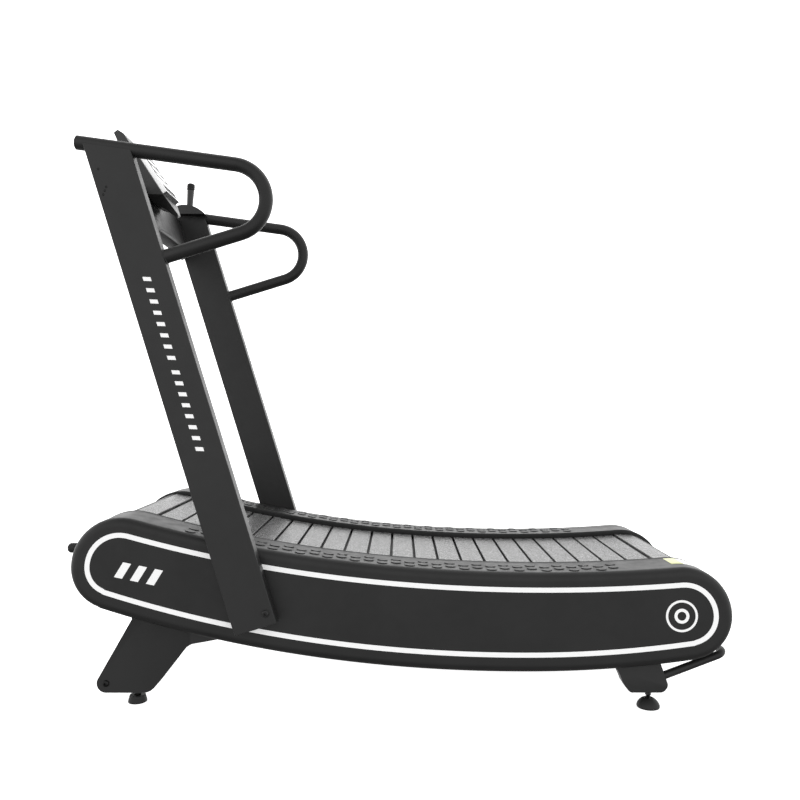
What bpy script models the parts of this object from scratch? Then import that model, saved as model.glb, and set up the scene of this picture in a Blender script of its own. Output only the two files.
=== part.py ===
"""Curved manual treadmill: an unpowered slat belt on a curved frame, with uprights and handrails.

Frame: +X towards the rear of the machine, +Y to the user's right, +Z up, metres.
The origin is on the floor, below the middle of the machine's length and width.
"""

import math

import bmesh
import bpy
from mathutils import Matrix, Vector

# ---------------------------------------------------------------- driving dimensions

GAP = 0.0003                  # space kept between two pieces that touch

# Side outline: a sagging top line and bottom line between round ends.
LOW_X = 0.415                 # where the top line is lowest
TOP_Z = 0.378                 # height of the top line there
TOP_FRONT = 0.094             # rise towards the front, per square metre
TOP_REAR = 0.100              # rise towards the rear
TOP_CUBIC = 0.018             # extra rise, per cubic metre
# Bottom lines: lowest x and z, then the rise forwards, rearwards and per cubic metre.
BELLY_LINE = (0.360, 0.1080, 0.1099, 0.150, 0.0158)
HANG_LINE = (0.360, 0.1020, 0.1123, 0.142, 0.0158)     # the one that the belt's lower run follows
NOSE_TOP = (-0.7430, 0.391, 0.1353)    # arc centre x, z and radius
NOSE_BOTTOM = (-0.7638, 0.391, 0.1145)
TAIL_TOP = (0.7840, 0.259, 0.1330)
TAIL_BOTTOM = (0.7990, 0.259, 0.1180)

# Widths, measured from the middle of the machine.
BELT_HALF = 0.230
RAIL_INNER = 0.234
RAIL_OUTER = 0.356
RAIL_CROWN = 0.0005           # how much higher the foot rail's inner edge is
COVER_FACE = 0.376            # flat outer face of a side cover
COVER_WALL = 0.003
UPRIGHT_INNER = COVER_FACE + GAP
UPRIGHT_THICK = 0.040
UPRIGHT_Y = UPRIGHT_INNER + UPRIGHT_THICK / 2
BEAM_INNER = 0.262
BEAM_THICK = 0.008
BEAM_OUTER = BEAM_INNER + BEAM_THICK

# Slat belt and the pulleys that carry it.
BELT_SINK = 0.0138            # belt surface below the side outline
SLAT_THICK = 0.013
BAND_THICK = 0.006
SLAT_PITCH = 0.070
SLAT_GAP = 0.0050
SLAT_PHASE = 0.0273            # distance along the belt to the first gap
FRONT_AXLE = (-0.752, 0.4005)
REAR_AXLE = (0.784, 0.2630)
BELT_RADIUS = 0.116
PULLEY_RADIUS = BELT_RADIUS - SLAT_THICK - BAND_THICK - 0.001
PULLEY_Y = 0.180
PULLEY_WIDTH = 0.030
SHAFT_RADIUS = 0.0125
RUNNING = 0.00005             # radial clearance of a running fit

# Uprights and handrails.
LEAN = math.radians(17.16)
UPRIGHT_WIDTH = 0.1165
UPRIGHT_FOOT = (-0.3667, 0.2377)       # middle of the lower end
UPRIGHT_LENGTH = 1.36
UPRIGHT_WALL = 0.003
RAIL_TUBE_RADIUS = 0.019
RAIL_FRONT = (-0.8440, 1.5311)         # handrail axis, front end
RAIL_DROP = math.radians(7.92)         # fall of its upper run towards the rear
RAIL_BEND = (-0.4367, 1.3796, 0.0945)  # bend centre x, z and radius
RAIL_RISE = math.radians(17.16)        # slope of its lower run

# Legs and feet.
FRONT_LEG_Y = 0.288
FRONT_LEG_THICK = 0.035
FRONT_LEG_BOTTOM = 0.030
REAR_LEG_Y = 0.3270
REAR_LEG_THICK = 0.034
REAR_LEG_BOTTOM = 0.0445
FRONT_FOOT_X = -0.7208
REAR_FOOT_X = 0.6985
WHEEL_AXLE = (-0.8035, 0.0560)
WHEEL_RADIUS = 0.027

# Resistance lever, on the inner side of the right handrail.
LEVER_PIVOT = (-0.7506, 1.5305)
LEVER_Y = 0.3590
HOUSING_CENTRE = (-0.7660, 1.4504)     # centre of the housing's round top
HOUSING_RADIUS = 0.1012
HOUSING_LOW = 1.5180                   # height of its flat lower side
HOUSING_THICK = 0.034
LEVER_SLOT = 0.026
LEVER_TILT = math.radians(3.5)         # from vertical, towards the rear
LEVER_SWEEP = math.radians(35.0)

CIRCLE = 16                            # sides of an ordinary round piece


def bore_radius(radius):
    """Radius of a many-sided hole whose flat sides clear a round pin of this radius."""
    return (radius + RUNNING) / math.cos(math.pi / CIRCLE)


# ---------------------------------------------------------------- scene and materials

for old_object in list(bpy.data.objects):
    bpy.data.objects.remove(old_object, do_unlink=True)

treadmill = bpy.data.collections.new("curved_treadmill")
cutters = bpy.data.collections.new("cutters")
bpy.context.scene.collection.children.link(treadmill)
bpy.context.scene.collection.children.link(cutters)


def finish_material(name, colour, roughness, metallic):
    """A Principled material with one colour, roughness and metallic value."""
    material = bpy.data.materials.new(name)
    material.use_nodes = True
    shader = material.node_tree.nodes["Principled BSDF"]
    shader.inputs["Base Color"].default_value = (*colour, 1.0)
    shader.inputs["Roughness"].default_value = roughness
    shader.inputs["Metallic"].default_value = metallic
    return material


BLACK_PAINT = finish_material("black_paint", (0.035, 0.035, 0.036), 0.45, 0.0)
COVER_PLASTIC = finish_material("cover_plastic", (0.040, 0.040, 0.041), 0.50, 0.0)
GRIP_RUBBER = finish_material("grip_rubber", (0.080, 0.080, 0.080), 0.75, 0.0)
SLAT_RUBBER = finish_material("slat_rubber", (0.120, 0.120, 0.120), 0.80, 0.0)
FOOT_RUBBER = finish_material("foot_rubber", (0.030, 0.030, 0.030), 0.80, 0.0)
STEEL = finish_material("steel", (0.550, 0.560, 0.570), 0.35, 1.0)
ALUMINIUM = finish_material("aluminium", (0.750, 0.760, 0.770), 0.30, 1.0)
CONSOLE_PLASTIC = finish_material("console_plastic", (0.045, 0.045, 0.046), 0.40, 0.0)
SCREEN = finish_material("screen", (0.700, 0.720, 0.730), 0.10, 0.0)
GLIDE_PLASTIC = finish_material("glide_plastic", (0.800, 0.800, 0.780), 0.45, 0.0)


# ---------------------------------------------------------------- modelling helpers

def place(name, mesh, material, collection=treadmill):
    """Link a mesh as a named object with one material."""
    piece = bpy.data.objects.new(name, mesh)
    collection.objects.link(piece)
    if material:
        mesh.materials.append(material)
    return piece


def shade_round(piece, angle=35.0):
    piece.data.shade_smooth()
    piece.data.set_sharp_from_angle(angle=math.radians(angle))
    return piece


def as_mesh(curve_object, name, material, collection=treadmill):
    """Turn a curve object into a welded mesh object and remove the curve."""
    bpy.context.view_layer.update()
    evaluated = curve_object.evaluated_get(bpy.context.evaluated_depsgraph_get())
    mesh = bpy.data.meshes.new_from_object(evaluated)
    mesh.materials.clear()
    welded = bmesh.new()
    welded.from_mesh(mesh)
    bmesh.ops.remove_doubles(welded, verts=welded.verts, dist=0.00002)
    bmesh.ops.recalc_face_normals(welded, faces=welded.faces)
    welded.to_mesh(mesh)
    welded.free()
    piece = place(name, mesh, material, collection)
    piece.matrix_world = curve_object.matrix_world.copy()
    bpy.data.objects.remove(curve_object, do_unlink=True)
    return piece


def plate(name, outlines, middle_y, thickness, material, collection=treadmill):
    """A flat piece of even thickness: x, z outlines filled and extruded along Y."""
    flat = bpy.data.curves.new(name, "CURVE")
    flat.dimensions = "2D"
    flat.fill_mode = "BOTH"
    flat.extrude = thickness / 2
    for outline in outlines:
        spline = flat.splines.new("POLY")
        spline.points.add(len(outline) - 1)
        for point, (x, z) in zip(spline.points, outline):
            point.co = (x, z, 0, 1)
        spline.use_cyclic_u = True
    holder = bpy.data.objects.new(name + "_outline", flat)
    bpy.context.scene.collection.objects.link(holder)
    holder.rotation_euler = (math.pi / 2, 0, 0)
    holder.location = (0, middle_y, 0)
    return as_mesh(holder, name, material, collection)


def tube(name, route, radius, material, sides=16):
    """A round tube along a list of points, with filled ends."""
    path = bpy.data.curves.new(name, "CURVE")
    path.dimensions = "3D"
    path.bevel_depth = radius
    path.bevel_resolution = sides // 2 - 2
    path.use_fill_caps = True
    spline = path.splines.new("POLY")
    spline.points.add(len(route) - 1)
    for point, place_on_route in zip(spline.points, route):
        point.co = (*place_on_route, 1)
    holder = bpy.data.objects.new(name + "_path", path)
    bpy.context.scene.collection.objects.link(holder)
    return shade_round(as_mesh(holder, name, material))


def box(name, size, centre, material, turn_y=0.0, collection=treadmill):
    """A box of the given x, y, z size, turned about Y."""
    cube = bmesh.new()
    bmesh.ops.create_cube(cube, size=1.0, matrix=Matrix.Diagonal((*size, 1.0)))
    mesh = bpy.data.meshes.new(name)
    cube.to_mesh(mesh)
    cube.free()
    piece = place(name, mesh, material, collection)
    piece.location = centre
    piece.rotation_euler = (0, turn_y, 0)
    return piece


def rod(name, radius, length, centre, material, axis="Y", sides=CIRCLE, collection=treadmill):
    """A plain cylinder with its axis along X, Y or Z."""
    cylinder = bmesh.new()
    bmesh.ops.create_cone(cylinder, cap_ends=True, segments=sides, radius1=radius,
                          radius2=radius, depth=length)
    mesh = bpy.data.meshes.new(name)
    cylinder.to_mesh(mesh)
    cylinder.free()
    piece = place(name, mesh, material, collection)
    piece.location = centre
    piece.rotation_euler = {"X": (0, math.pi / 2, 0), "Y": (-math.pi / 2, 0, 0), "Z": (0, 0, 0)}[axis]
    return shade_round(piece)


def turned(name, profile, centre, material, axis="Z", sides=CIRCLE):
    """A turned piece: a closed or axis-to-axis profile of radius, height points."""
    mesh = bpy.data.meshes.new(name)
    closed = profile[0][0] > 0 and profile[-1][0] > 0
    edges = [(i, i + 1) for i in range(len(profile) - 1)]
    if closed:
        edges.append((len(profile) - 1, 0))
    mesh.from_pydata([(radius, 0, height) for radius, height in profile], edges, [])
    piece = place(name, mesh, material)
    screw = piece.modifiers.new("turn", "SCREW")
    screw.steps = sides
    screw.render_steps = sides
    screw.use_merge_vertices = True
    screw.merge_threshold = 0.00005
    screw.use_normal_calculate = True
    apply_modifiers(piece)
    outward(piece)
    piece.location = centre
    piece.rotation_euler = {"X": (0, math.pi / 2, 0), "Y": (-math.pi / 2, 0, 0), "Z": (0, 0, 0)}[axis]
    return shade_round(piece)


def apply_modifiers(piece):
    """Replace the object's mesh with its evaluated mesh."""
    bpy.context.view_layer.update()
    evaluated = piece.evaluated_get(bpy.context.evaluated_depsgraph_get())
    mesh = bpy.data.meshes.new_from_object(evaluated)
    piece.modifiers.clear()
    piece.data = mesh


def outward(piece):
    """Turn every face of a closed mesh outwards."""
    faces = bmesh.new()
    faces.from_mesh(piece.data)
    bmesh.ops.remove_doubles(faces, verts=faces.verts, dist=0.00001)
    bmesh.ops.recalc_face_normals(faces, faces=faces.faces)
    faces.to_mesh(piece.data)
    faces.free()


def combine(piece, others, operation):
    """Cut others from the piece, or join them to it, and drop them."""
    for other in others:
        boolean = piece.modifiers.new("combine", "BOOLEAN")
        boolean.operation = operation
        boolean.solver = "EXACT"
        boolean.object = other
        apply_modifiers(piece)
        bpy.data.objects.remove(other, do_unlink=True)
    return piece


def cut(piece, *others):
    return combine(piece, others, "DIFFERENCE")


def join(piece, *others):
    return combine(piece, others, "UNION")


def cutter(piece):
    piece.hide_render = True
    piece.display_type = "WIRE"
    return piece


def round_edges(piece, width, segments=2, angle=40.0):
    bevel = piece.modifiers.new("round", "BEVEL")
    bevel.width = width
    bevel.segments = segments
    bevel.limit_method = "ANGLE"
    bevel.angle_limit = math.radians(angle)
    apply_modifiers(piece)
    return shade_round(piece)


def arc(centre_x, centre_z, radius, start, end, count):
    """Points on an arc from start to end, in degrees, both ends included."""
    steps = [start + (end - start) * i / count for i in range(count + 1)]
    return [(centre_x + radius * math.cos(math.radians(a)),
             centre_z + radius * math.sin(math.radians(a))) for a in steps]


SIDES = {"left": -1, "right": 1}


# ---------------------------------------------------------------- side outline

def sag(x, low_x, front, rear, cubic):
    """Height and slope of a sagging line above its lowest point."""
    u = x - low_x
    square = front if u < 0 else rear
    return square * u * u + cubic * abs(u) ** 3, 2 * square * u + 3 * cubic * u * abs(u)


def top_point(x, inset):
    """Point on the top line at x, moved inwards by inset along its normal."""
    height, slope = sag(x, LOW_X, TOP_FRONT, TOP_REAR, TOP_CUBIC)
    length = math.hypot(1, slope)
    return x + inset * slope / length, TOP_Z + height - inset / length


def belly_point(x, inset, line=BELLY_LINE):
    """Point on a bottom line at x, moved inwards by inset along its normal."""
    low_x, low_z, front, rear, cubic = line
    height, slope = sag(x, low_x, front, rear, cubic)
    length = math.hypot(1, slope)
    return x - inset * slope / length, low_z + height + inset / length


TOP_FRONT_X = -0.7064         # where the top line meets the nose arc
TOP_REAR_X = 0.7735
BELLY_FRONT_X = -0.7975
BELLY_REAR_X = 0.8150
TOP_STEPS = 18
BELLY_STEPS = 12
END_STEPS = 5


def spread(first, last, steps):
    return [first + (last - first) * i / steps for i in range(steps + 1)]


def end_arc(arc_data, inset, start, end):
    centre_x, centre_z, radius = arc_data
    return arc(centre_x, centre_z, radius - inset, start, end, END_STEPS)


def side_outline(inset):
    """The closed side outline, moved inwards: top line, tail, bottom line, nose."""
    top = [top_point(x, inset) for x in spread(TOP_FRONT_X, TOP_REAR_X, TOP_STEPS)]
    tail_upper = end_arc(TAIL_TOP, inset, 94.5, 0)[1:]
    tail_lower = end_arc(TAIL_BOTTOM, inset, 0, -81.7)[1:-1]
    belly = [belly_point(x, inset) for x in spread(BELLY_REAR_X, BELLY_FRONT_X, BELLY_STEPS)]
    nose_lower = end_arc(NOSE_BOTTOM, inset, -108.0, -180)[1:]
    nose_upper = end_arc(NOSE_TOP, inset, 180, 74.3)[1:-1]
    return top + tail_upper + tail_lower + belly + nose_lower + nose_upper


def loft(name, rings, material, close_last):
    """Faces between closed rings of points, open at the first ring."""
    shell = bmesh.new()
    loops = [[shell.verts.new(point) for point in ring] for ring in rings]
    count = len(rings[0])
    for lower, upper in zip(loops, loops[1:]):
        for i in range(count):
            j = (i + 1) % count
            shell.faces.new((lower[i], lower[j], upper[j], upper[i]))
    if close_last:
        shell.faces.new(loops[-1])
    bmesh.ops.recalc_face_normals(shell, faces=shell.faces)
    mesh = bpy.data.meshes.new(name)
    shell.to_mesh(mesh)
    shell.free()
    return place(name, mesh, material)


# ---------------------------------------------------------------- side covers with their foot rails

# Section of a cover: distance from the middle, and how far inside the outline it lies.
COVER_SECTION = [(RAIL_INNER, -RAIL_CROWN), (RAIL_OUTER, 0.0), (0.3640, 0.0020), (0.3705, 0.0070),
                 (0.3745, 0.0135), (COVER_FACE, 0.0220)]
UPRIGHT_BOLT = (-0.3405, 0.2811)
UPRIGHT_BOLT_RADIUS = 0.006


def side_cover(side, sign):
    rings = [[(x, sign * y, z) for x, z in side_outline(inset)] for y, inset in COVER_SECTION]
    cover = loft("side_cover_" + side, rings, COVER_PLASTIC, close_last=True)
    thicken = cover.modifiers.new("wall", "SOLIDIFY")
    thicken.thickness = COVER_WALL
    thicken.offset = -sign_of_offset(cover)
    thicken.use_even_offset = True
    apply_modifiers(cover)
    outward(cover)
    xs = spread(0.8450, -0.8300, 24)
    under = [belly_point(x, 0.024) for x in xs] + [belly_point(x, -0.024) for x in reversed(xs)]
    opening_low = 0.15
    opening_high = 0.3450
    open_floor = cutter(plate("floor_cutter", [under], sign * (opening_low + opening_high) / 2,
                              opening_high - opening_low, None, cutters))
    bolt_hole = cutter(rod("bolt_cutter", UPRIGHT_BOLT_RADIUS + 0.001, 0.05,
                           (UPRIGHT_BOLT[0], sign * COVER_FACE, UPRIGHT_BOLT[1]), None,
                           collection=cutters))
    cut(cover, open_floor, bolt_hole)
    return shade_round(cover, 25.0)


def sign_of_offset(shell):
    """+1 where the open shell's normals point away from the middle of the machine."""
    biggest = max(shell.data.polygons, key=lambda face: face.area)
    return 1 if biggest.normal.y * biggest.center.y > 0 else -1


for side_name, side_sign in SIDES.items():
    side_cover(side_name, side_sign)

# ---------------------------------------------------------------- rubber grips on the foot rails

GRIP_FIRST = 2                # first and last station of the top line that a grip covers
GRIP_LAST = 16
GRIP_INNER = 0.264
GRIP_OUTER = 0.353
GRIP_THICK = 0.0025
RAIL_FALL = RAIL_CROWN / (RAIL_OUTER - RAIL_INNER)


def rail_grip(side, sign):
    """A thin strip that follows the foot rail, standing on it."""
    stations = spread(TOP_FRONT_X, TOP_REAR_X, TOP_STEPS)[GRIP_FIRST:GRIP_LAST + 1]
    strip = bmesh.new()
    corners = []
    for y, lift in ((GRIP_INNER, GAP), (GRIP_OUTER, GAP), (GRIP_OUTER, GRIP_THICK), (GRIP_INNER, GRIP_THICK)):
        outset = RAIL_FALL * (RAIL_OUTER - y) + lift
        corners.append([(x, sign * y, z) for x, z in (top_point(s, -outset) for s in stations)])
    lines = [[strip.verts.new(point) for point in corner] for corner in corners]
    for i in range(len(stations) - 1):
        for k in range(4):
            strip.faces.new((lines[k][i], lines[k][i + 1], lines[(k + 1) % 4][i + 1], lines[(k + 1) % 4][i]))
    strip.faces.new([line[0] for line in lines])
    strip.faces.new([line[-1] for line in lines])
    bmesh.ops.recalc_face_normals(strip, faces=strip.faces)
    mesh = bpy.data.meshes.new("rail_grip_" + side)
    strip.to_mesh(mesh)
    strip.free()
    return place("rail_grip_" + side, mesh, GRIP_RUBBER)


for side_name, side_sign in SIDES.items():
    rail_grip(side_name, side_sign)

# ---------------------------------------------------------------- slat belt

BELT_TOP_X = (-0.7195, 0.7750)      # where the top run leaves the front and meets the rear circle
BELT_BELLY_X = (-0.7870, 0.7990)


def belt_route(depth):
    """The belt's closed route at a depth below its surface, clockwise from the front."""
    inset = BELT_SINK + depth
    radius = BELT_RADIUS - depth
    top = [top_point(x, inset) for x in spread(*BELT_TOP_X, 40)]
    rear = arc(*REAR_AXLE, radius, 94.4, -82.3, 24)[1:-1]
    xs = spread(BELT_BELLY_X[1], BELT_BELLY_X[0], 40)
    belly = [belly_point(x, inset + 0.0003, HANG_LINE) for x in xs]
    front = arc(*FRONT_AXLE, radius, -107.8, -285.8, 24)[1:-1]
    return top + rear + belly + front


def along(route, distances):
    """Points and outward normals at distances along a closed route."""
    points = [Vector(p) for p in route] + [Vector(route[0])]
    found = []
    walked = 0.0
    wanted = iter(sorted(distances))
    target = next(wanted, None)
    for start, end in zip(points, points[1:]):
        step = (end - start).length
        while target is not None and target <= walked + step:
            direction = (end - start).normalized()
            found.append((start.lerp(end, (target - walked) / step), Vector((-direction.y, direction.x))))
            target = next(wanted, None)
        walked += step
    return found


def route_length(route):
    points = [Vector(p) for p in route] + [Vector(route[0])]
    return sum((b - a).length for a, b in zip(points, points[1:]))


def slat_belt():
    """Slats on an endless band, as one outline with a groove between slats."""
    surface = belt_route(0.0)
    length = route_length(surface)
    slats = round(length / SLAT_PITCH)
    pitch = length / slats
    outer = []
    for k in range(slats):
        start = (SLAT_PHASE + k * pitch + SLAT_GAP / 2) % length
        end = (SLAT_PHASE + (k + 1) * pitch - SLAT_GAP / 2) % length
        first, first_up = along(surface, [start])[0]
        last, last_up = along(surface, [end])[0]
        outer.append(first - first_up * SLAT_THICK)
        outer.append(first)
        outer.append(last)
        outer.append(last - last_up * SLAT_THICK)
    inner = belt_route(SLAT_THICK + BAND_THICK)
    return plate("slat_belt", [outer, inner], 0.0, 2 * BELT_HALF, SLAT_RUBBER)


slat_belt()

# ---------------------------------------------------------------- inner frame

BEAM_TOP_INSET = 0.026
BEAM_BOTTOM_INSET = 0.166
BEAM_LOBE = 0.075
BEARING_RADIUS = 0.026
CROSS_TUBE = 0.050
CROSS_TUBES = {"front": (-0.52, 0.385), "rear": (0.56, 0.275)}
BRACKET_SIZE = (0.085, 0.100)
BRACKET_CENTRE = (-0.3500, 0.3050)
DISC_Y = 0.3200               # brake disc, outboard of the right beam
MAGNET_PIVOT = (-0.6000, 0.3600)
MAGNET_PIN_RADIUS = 0.005
MAGNET_PIN_TIP = DISC_Y + 0.018


def frame_beam(side, sign):
    """A curved side plate with a hole for each axle's bearing."""
    outline = [top_point(x, BEAM_TOP_INSET) for x in spread(-0.690, 0.760, 18)]
    outline += arc(*REAR_AXLE, BEAM_LOBE, 75, -95, 8)
    outline += [top_point(x, BEAM_BOTTOM_INSET) for x in spread(0.690, -0.660, 16)]
    outline += arc(*FRONT_AXLE, BEAM_LOBE, 285, 105, 8)
    middle_y = sign * (BEAM_INNER + BEAM_THICK / 2)
    beam = plate("frame_beam_" + side, [outline], middle_y, BEAM_THICK, BLACK_PAINT)
    holes = [cutter(rod("bearing_cutter", BEARING_RADIUS + GAP, 0.05, (x, middle_y, z), None,
                        collection=cutters)) for x, z in (FRONT_AXLE, REAR_AXLE)]
    return cut(beam, *holes)


def cross_tube(name, centre):
    """A square tube between the two beams."""
    length = 2 * (BEAM_INNER - GAP)
    outer = box(name, (CROSS_TUBE, length, CROSS_TUBE), (centre[0], 0, centre[1]), BLACK_PAINT)
    bore_size = CROSS_TUBE - 2 * UPRIGHT_WALL
    inner = cutter(box("bore_cutter", (bore_size, length + 0.01, bore_size),
                       (centre[0], 0, centre[1]), None, collection=cutters))
    return cut(outer, inner)


def upright_bracket(side, sign):
    """A block that carries the upright's load through the cover into the beam."""
    low = BEAM_OUTER + GAP
    high = COVER_FACE - COVER_WALL - GAP
    width, height = BRACKET_SIZE
    block = box("upright_bracket_" + side, (width, high - low, height),
                (BRACKET_CENTRE[0], sign * (low + high) / 2, BRACKET_CENTRE[1]), BLACK_PAINT)
    hollow_high = high - 0.008
    inner = cutter(box("hollow_cutter", (width - 0.012, hollow_high - low + 0.01, height - 0.012),
                       (BRACKET_CENTRE[0], sign * (low + hollow_high - 0.01) / 2, BRACKET_CENTRE[1]),
                       None, collection=cutters))
    hole = cutter(rod("bolt_cutter", UPRIGHT_BOLT_RADIUS + GAP, 0.05,
                      (UPRIGHT_BOLT[0], sign * high, UPRIGHT_BOLT[1]), None, collection=cutters))
    return cut(block, inner, hole)


def glide_rail(side, sign):
    """A low-friction rail under the belt's top run, fixed to the beam."""
    xs = spread(-0.640, 0.690, 20)
    top_inset = BELT_SINK + SLAT_THICK + BAND_THICK + 0.0005
    outline = [top_point(x, top_inset) for x in xs]
    outline += [top_point(x, top_inset + 0.012) for x in reversed(xs)]
    low = 0.205
    high = BEAM_INNER - GAP
    return plate("glide_rail_" + side, [outline], sign * (low + high) / 2, high - low, GLIDE_PLASTIC)


for side_name, side_sign in SIDES.items():
    frame_beam(side_name, side_sign)
    upright_bracket(side_name, side_sign)
    glide_rail(side_name, side_sign)
for tube_name, tube_centre in CROSS_TUBES.items():
    cross_tube("cross_tube_" + tube_name, tube_centre)

# ---------------------------------------------------------------- axles, pulleys, bearings, brake

SHAFT_HALF = 0.300
DISC_THICK = 0.008
DISC_RADIUS = 0.098
BEARING_WIDTH = BEAM_THICK


def drum(name, axle):
    """A belt drum: two pulleys on one hub tube, bored for its shaft."""
    outer = PULLEY_Y + PULLEY_WIDTH / 2
    inner = PULLEY_Y - PULLEY_WIDTH / 2
    hub = SHAFT_RADIUS + 0.006
    bore = SHAFT_RADIUS + GAP
    right_half = [(bore, outer), (PULLEY_RADIUS, outer), (PULLEY_RADIUS, inner), (hub, inner)]
    left_half = [(radius, -y) for radius, y in reversed(right_half)]
    return turned(name, right_half + left_half, (axle[0], 0, axle[1]), ALUMINIUM, axis="Y", sides=20)


def bearing(name, axle, sign):
    """A bearing ring in the beam's hole."""
    half = BEARING_WIDTH / 2
    bore = bore_radius(SHAFT_RADIUS)
    profile = [(bore, half), (BEARING_RADIUS, half), (BEARING_RADIUS, -half), (bore, -half)]
    middle_y = sign * (BEAM_INNER + BEAM_THICK / 2)
    return turned(name, profile, (axle[0], middle_y, axle[1]), STEEL, axis="Y")


for end_name, axle_place in (("front", FRONT_AXLE), ("rear", REAR_AXLE)):
    shaft_end = DISC_Y + 0.012 if end_name == "front" else SHAFT_HALF
    shaft_length = SHAFT_HALF + shaft_end
    rod(end_name + "_shaft", SHAFT_RADIUS, shaft_length,
        (axle_place[0], (shaft_end - SHAFT_HALF) / 2, axle_place[1]), STEEL)
    drum(end_name + "_drum", axle_place)
    for side_name, side_sign in SIDES.items():
        bearing("%s_bearing_%s" % (end_name, side_name), axle_place, side_sign)


def brake_disc():
    """The eddy-current disc on the front shaft's right end."""
    half = DISC_THICK / 2
    hub_half = 0.011
    hub = SHAFT_RADIUS + 0.012
    bore = SHAFT_RADIUS + GAP
    profile = [(bore, hub_half), (hub, hub_half), (hub, half), (DISC_RADIUS, half),
               (DISC_RADIUS, -half), (hub, -half), (hub, -hub_half), (bore, -hub_half)]
    return turned("brake_disc", profile, (FRONT_AXLE[0], DISC_Y, FRONT_AXLE[1]), ALUMINIUM,
                  axis="Y", sides=20)


MAGNET_ARM_GAP = 0.016        # space between the two magnet plates


def magnet_caliper():
    """Two magnet plates joined by a bridge, hinged beside the disc."""
    outline = [(-0.672, 0.372), (-0.672, 0.412), (-0.600, 0.412)]
    outline += arc(MAGNET_PIVOT[0], MAGNET_PIVOT[1], 0.016, 60, -120, 8)
    arm_thick = 0.005
    spacing = MAGNET_ARM_GAP / 2 + arm_thick / 2
    arms = [plate("magnet_arm", [outline], DISC_Y + s * spacing, arm_thick, ALUMINIUM) for s in (-1, 1)]
    bridge = box("magnet_bridge", (0.020, MAGNET_ARM_GAP + 0.006, 0.030), (-0.6200, DISC_Y, 0.3940),
                 ALUMINIUM)
    caliper = join(arms[0], bridge, arms[1])
    caliper.name = "magnet_caliper"
    hole = cutter(rod("pin_cutter", bore_radius(MAGNET_PIN_RADIUS), 0.06,
                      (MAGNET_PIVOT[0], DISC_Y, MAGNET_PIVOT[1]), None, collection=cutters))
    return cut(caliper, hole)


brake_disc()
magnet_caliper()

# ---------------------------------------------------------------- legs, feet and transport wheels

STUD_RADIUS = 0.0060
STUD_TRAVEL = 0.012


def leg_bore(x, sign, y, bottom):
    return cutter(rod("stud_cutter", STUD_RADIUS + 0.0005, 0.100, (x, sign * y, bottom + 0.0490),
                      None, axis="Z", collection=cutters))


def front_leg(side, sign):
    """A raked side leg, rounded where it carries the transport wheel."""
    wheel_x, wheel_z = WHEEL_AXLE
    corner = wheel_z - FRONT_LEG_BOTTOM
    outline = [(-0.6550, 0.4400), (-0.5600, 0.4150), (-0.4700, 0.2300), (-0.4830, 0.1799)]
    outline += [(-0.5277, 0.1720), (-0.5694, 0.1648), (-0.5830, 0.1560), (-0.6580, 0.0560)]
    outline += [(-0.6710, 0.0420), (-0.6880, FRONT_LEG_BOTTOM)]
    outline += arc(wheel_x, wheel_z, corner, -90, -205, 7)
    outline += [(-0.7300, 0.2340), (-0.7300, 0.4200)]
    leg = plate("front_leg_" + side, [outline], sign * FRONT_LEG_Y, FRONT_LEG_THICK, BLACK_PAINT)
    axle_hole = cutter(rod("axle_cutter", 0.0062, 0.08, (wheel_x, sign * FRONT_LEG_Y, wheel_z), None,
                           collection=cutters))
    cut(leg, leg_bore(FRONT_FOOT_X, sign, FRONT_LEG_Y, FRONT_LEG_BOTTOM), axle_hole)
    if side == "right":
        pin = rod("magnet_pin", MAGNET_PIN_RADIUS, MAGNET_PIN_TIP - FRONT_LEG_Y,
                  (MAGNET_PIVOT[0], (FRONT_LEG_Y + MAGNET_PIN_TIP) / 2, MAGNET_PIVOT[1]), None)
        join(leg, pin)
    return leg


def rear_leg(side, sign):
    """A short side leg with a boss that reaches in to the frame beam."""
    outline = [(0.610, 0.300), (0.722, 0.300), (0.7260, 0.1240), (0.7424, 0.0830)]
    outline += [(0.7480, 0.0665), (0.7465, 0.0580), (0.7394, 0.0490), (0.7306, REAR_LEG_BOTTOM)]
    outline += [(0.6487, REAR_LEG_BOTTOM), (0.6416, 0.0490), (0.6342, 0.0570), (0.6235, 0.0745)]
    outline += [(0.6175, 0.0910), (0.6120, 0.1070), (0.6000, 0.1180)]
    leg = plate("rear_leg_" + side, [outline], sign * REAR_LEG_Y, REAR_LEG_THICK, BLACK_PAINT)
    boss_low = BEAM_OUTER + GAP
    boss_high = REAR_LEG_Y
    boss = box("leg_boss", (0.090, boss_high - boss_low, 0.060),
               (0.665, sign * (boss_low + boss_high) / 2, 0.2600), BLACK_PAINT)
    join(leg, boss)
    cut(leg, leg_bore(REAR_FOOT_X, sign, REAR_LEG_Y, REAR_LEG_BOTTOM))
    return leg


def foot(end, side, x, y, radius, leg_bottom):
    """A levelling foot: a steel stud with a jam nut, in a domed rubber pad."""
    name = "%s_%s" % (end, side)
    rise = leg_bottom - 0.0010
    nut = STUD_RADIUS + 0.0028
    crown = 0.0200 if end == "front" else 0.0260
    seat = crown - 0.0080
    if end == "front":
        flank = [(radius * 0.80, crown), (radius * 0.84, crown - 0.0012), (radius, 0.0030)]
    else:
        flank = [(radius * 0.45, crown), (radius * 0.78, crown - 0.0050), (radius, crown * 0.24)]
    pad_profile = [(0, seat), (nut + GAP, seat), (nut + GAP, crown)] + flank + [(radius, 0), (0, 0)]
    turned("foot_pad_" + name, pad_profile, (x, y, 0), FOOT_RUBBER, sides=20)
    stud_top = leg_bottom + 0.0700
    stud_profile = [(0, stud_top), (STUD_RADIUS, stud_top), (STUD_RADIUS, rise), (nut, rise),
                    (nut, seat + GAP), (0, seat + GAP)]
    turned("foot_stud_" + name, stud_profile, (x, y, 0), STEEL, sides=12)


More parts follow.
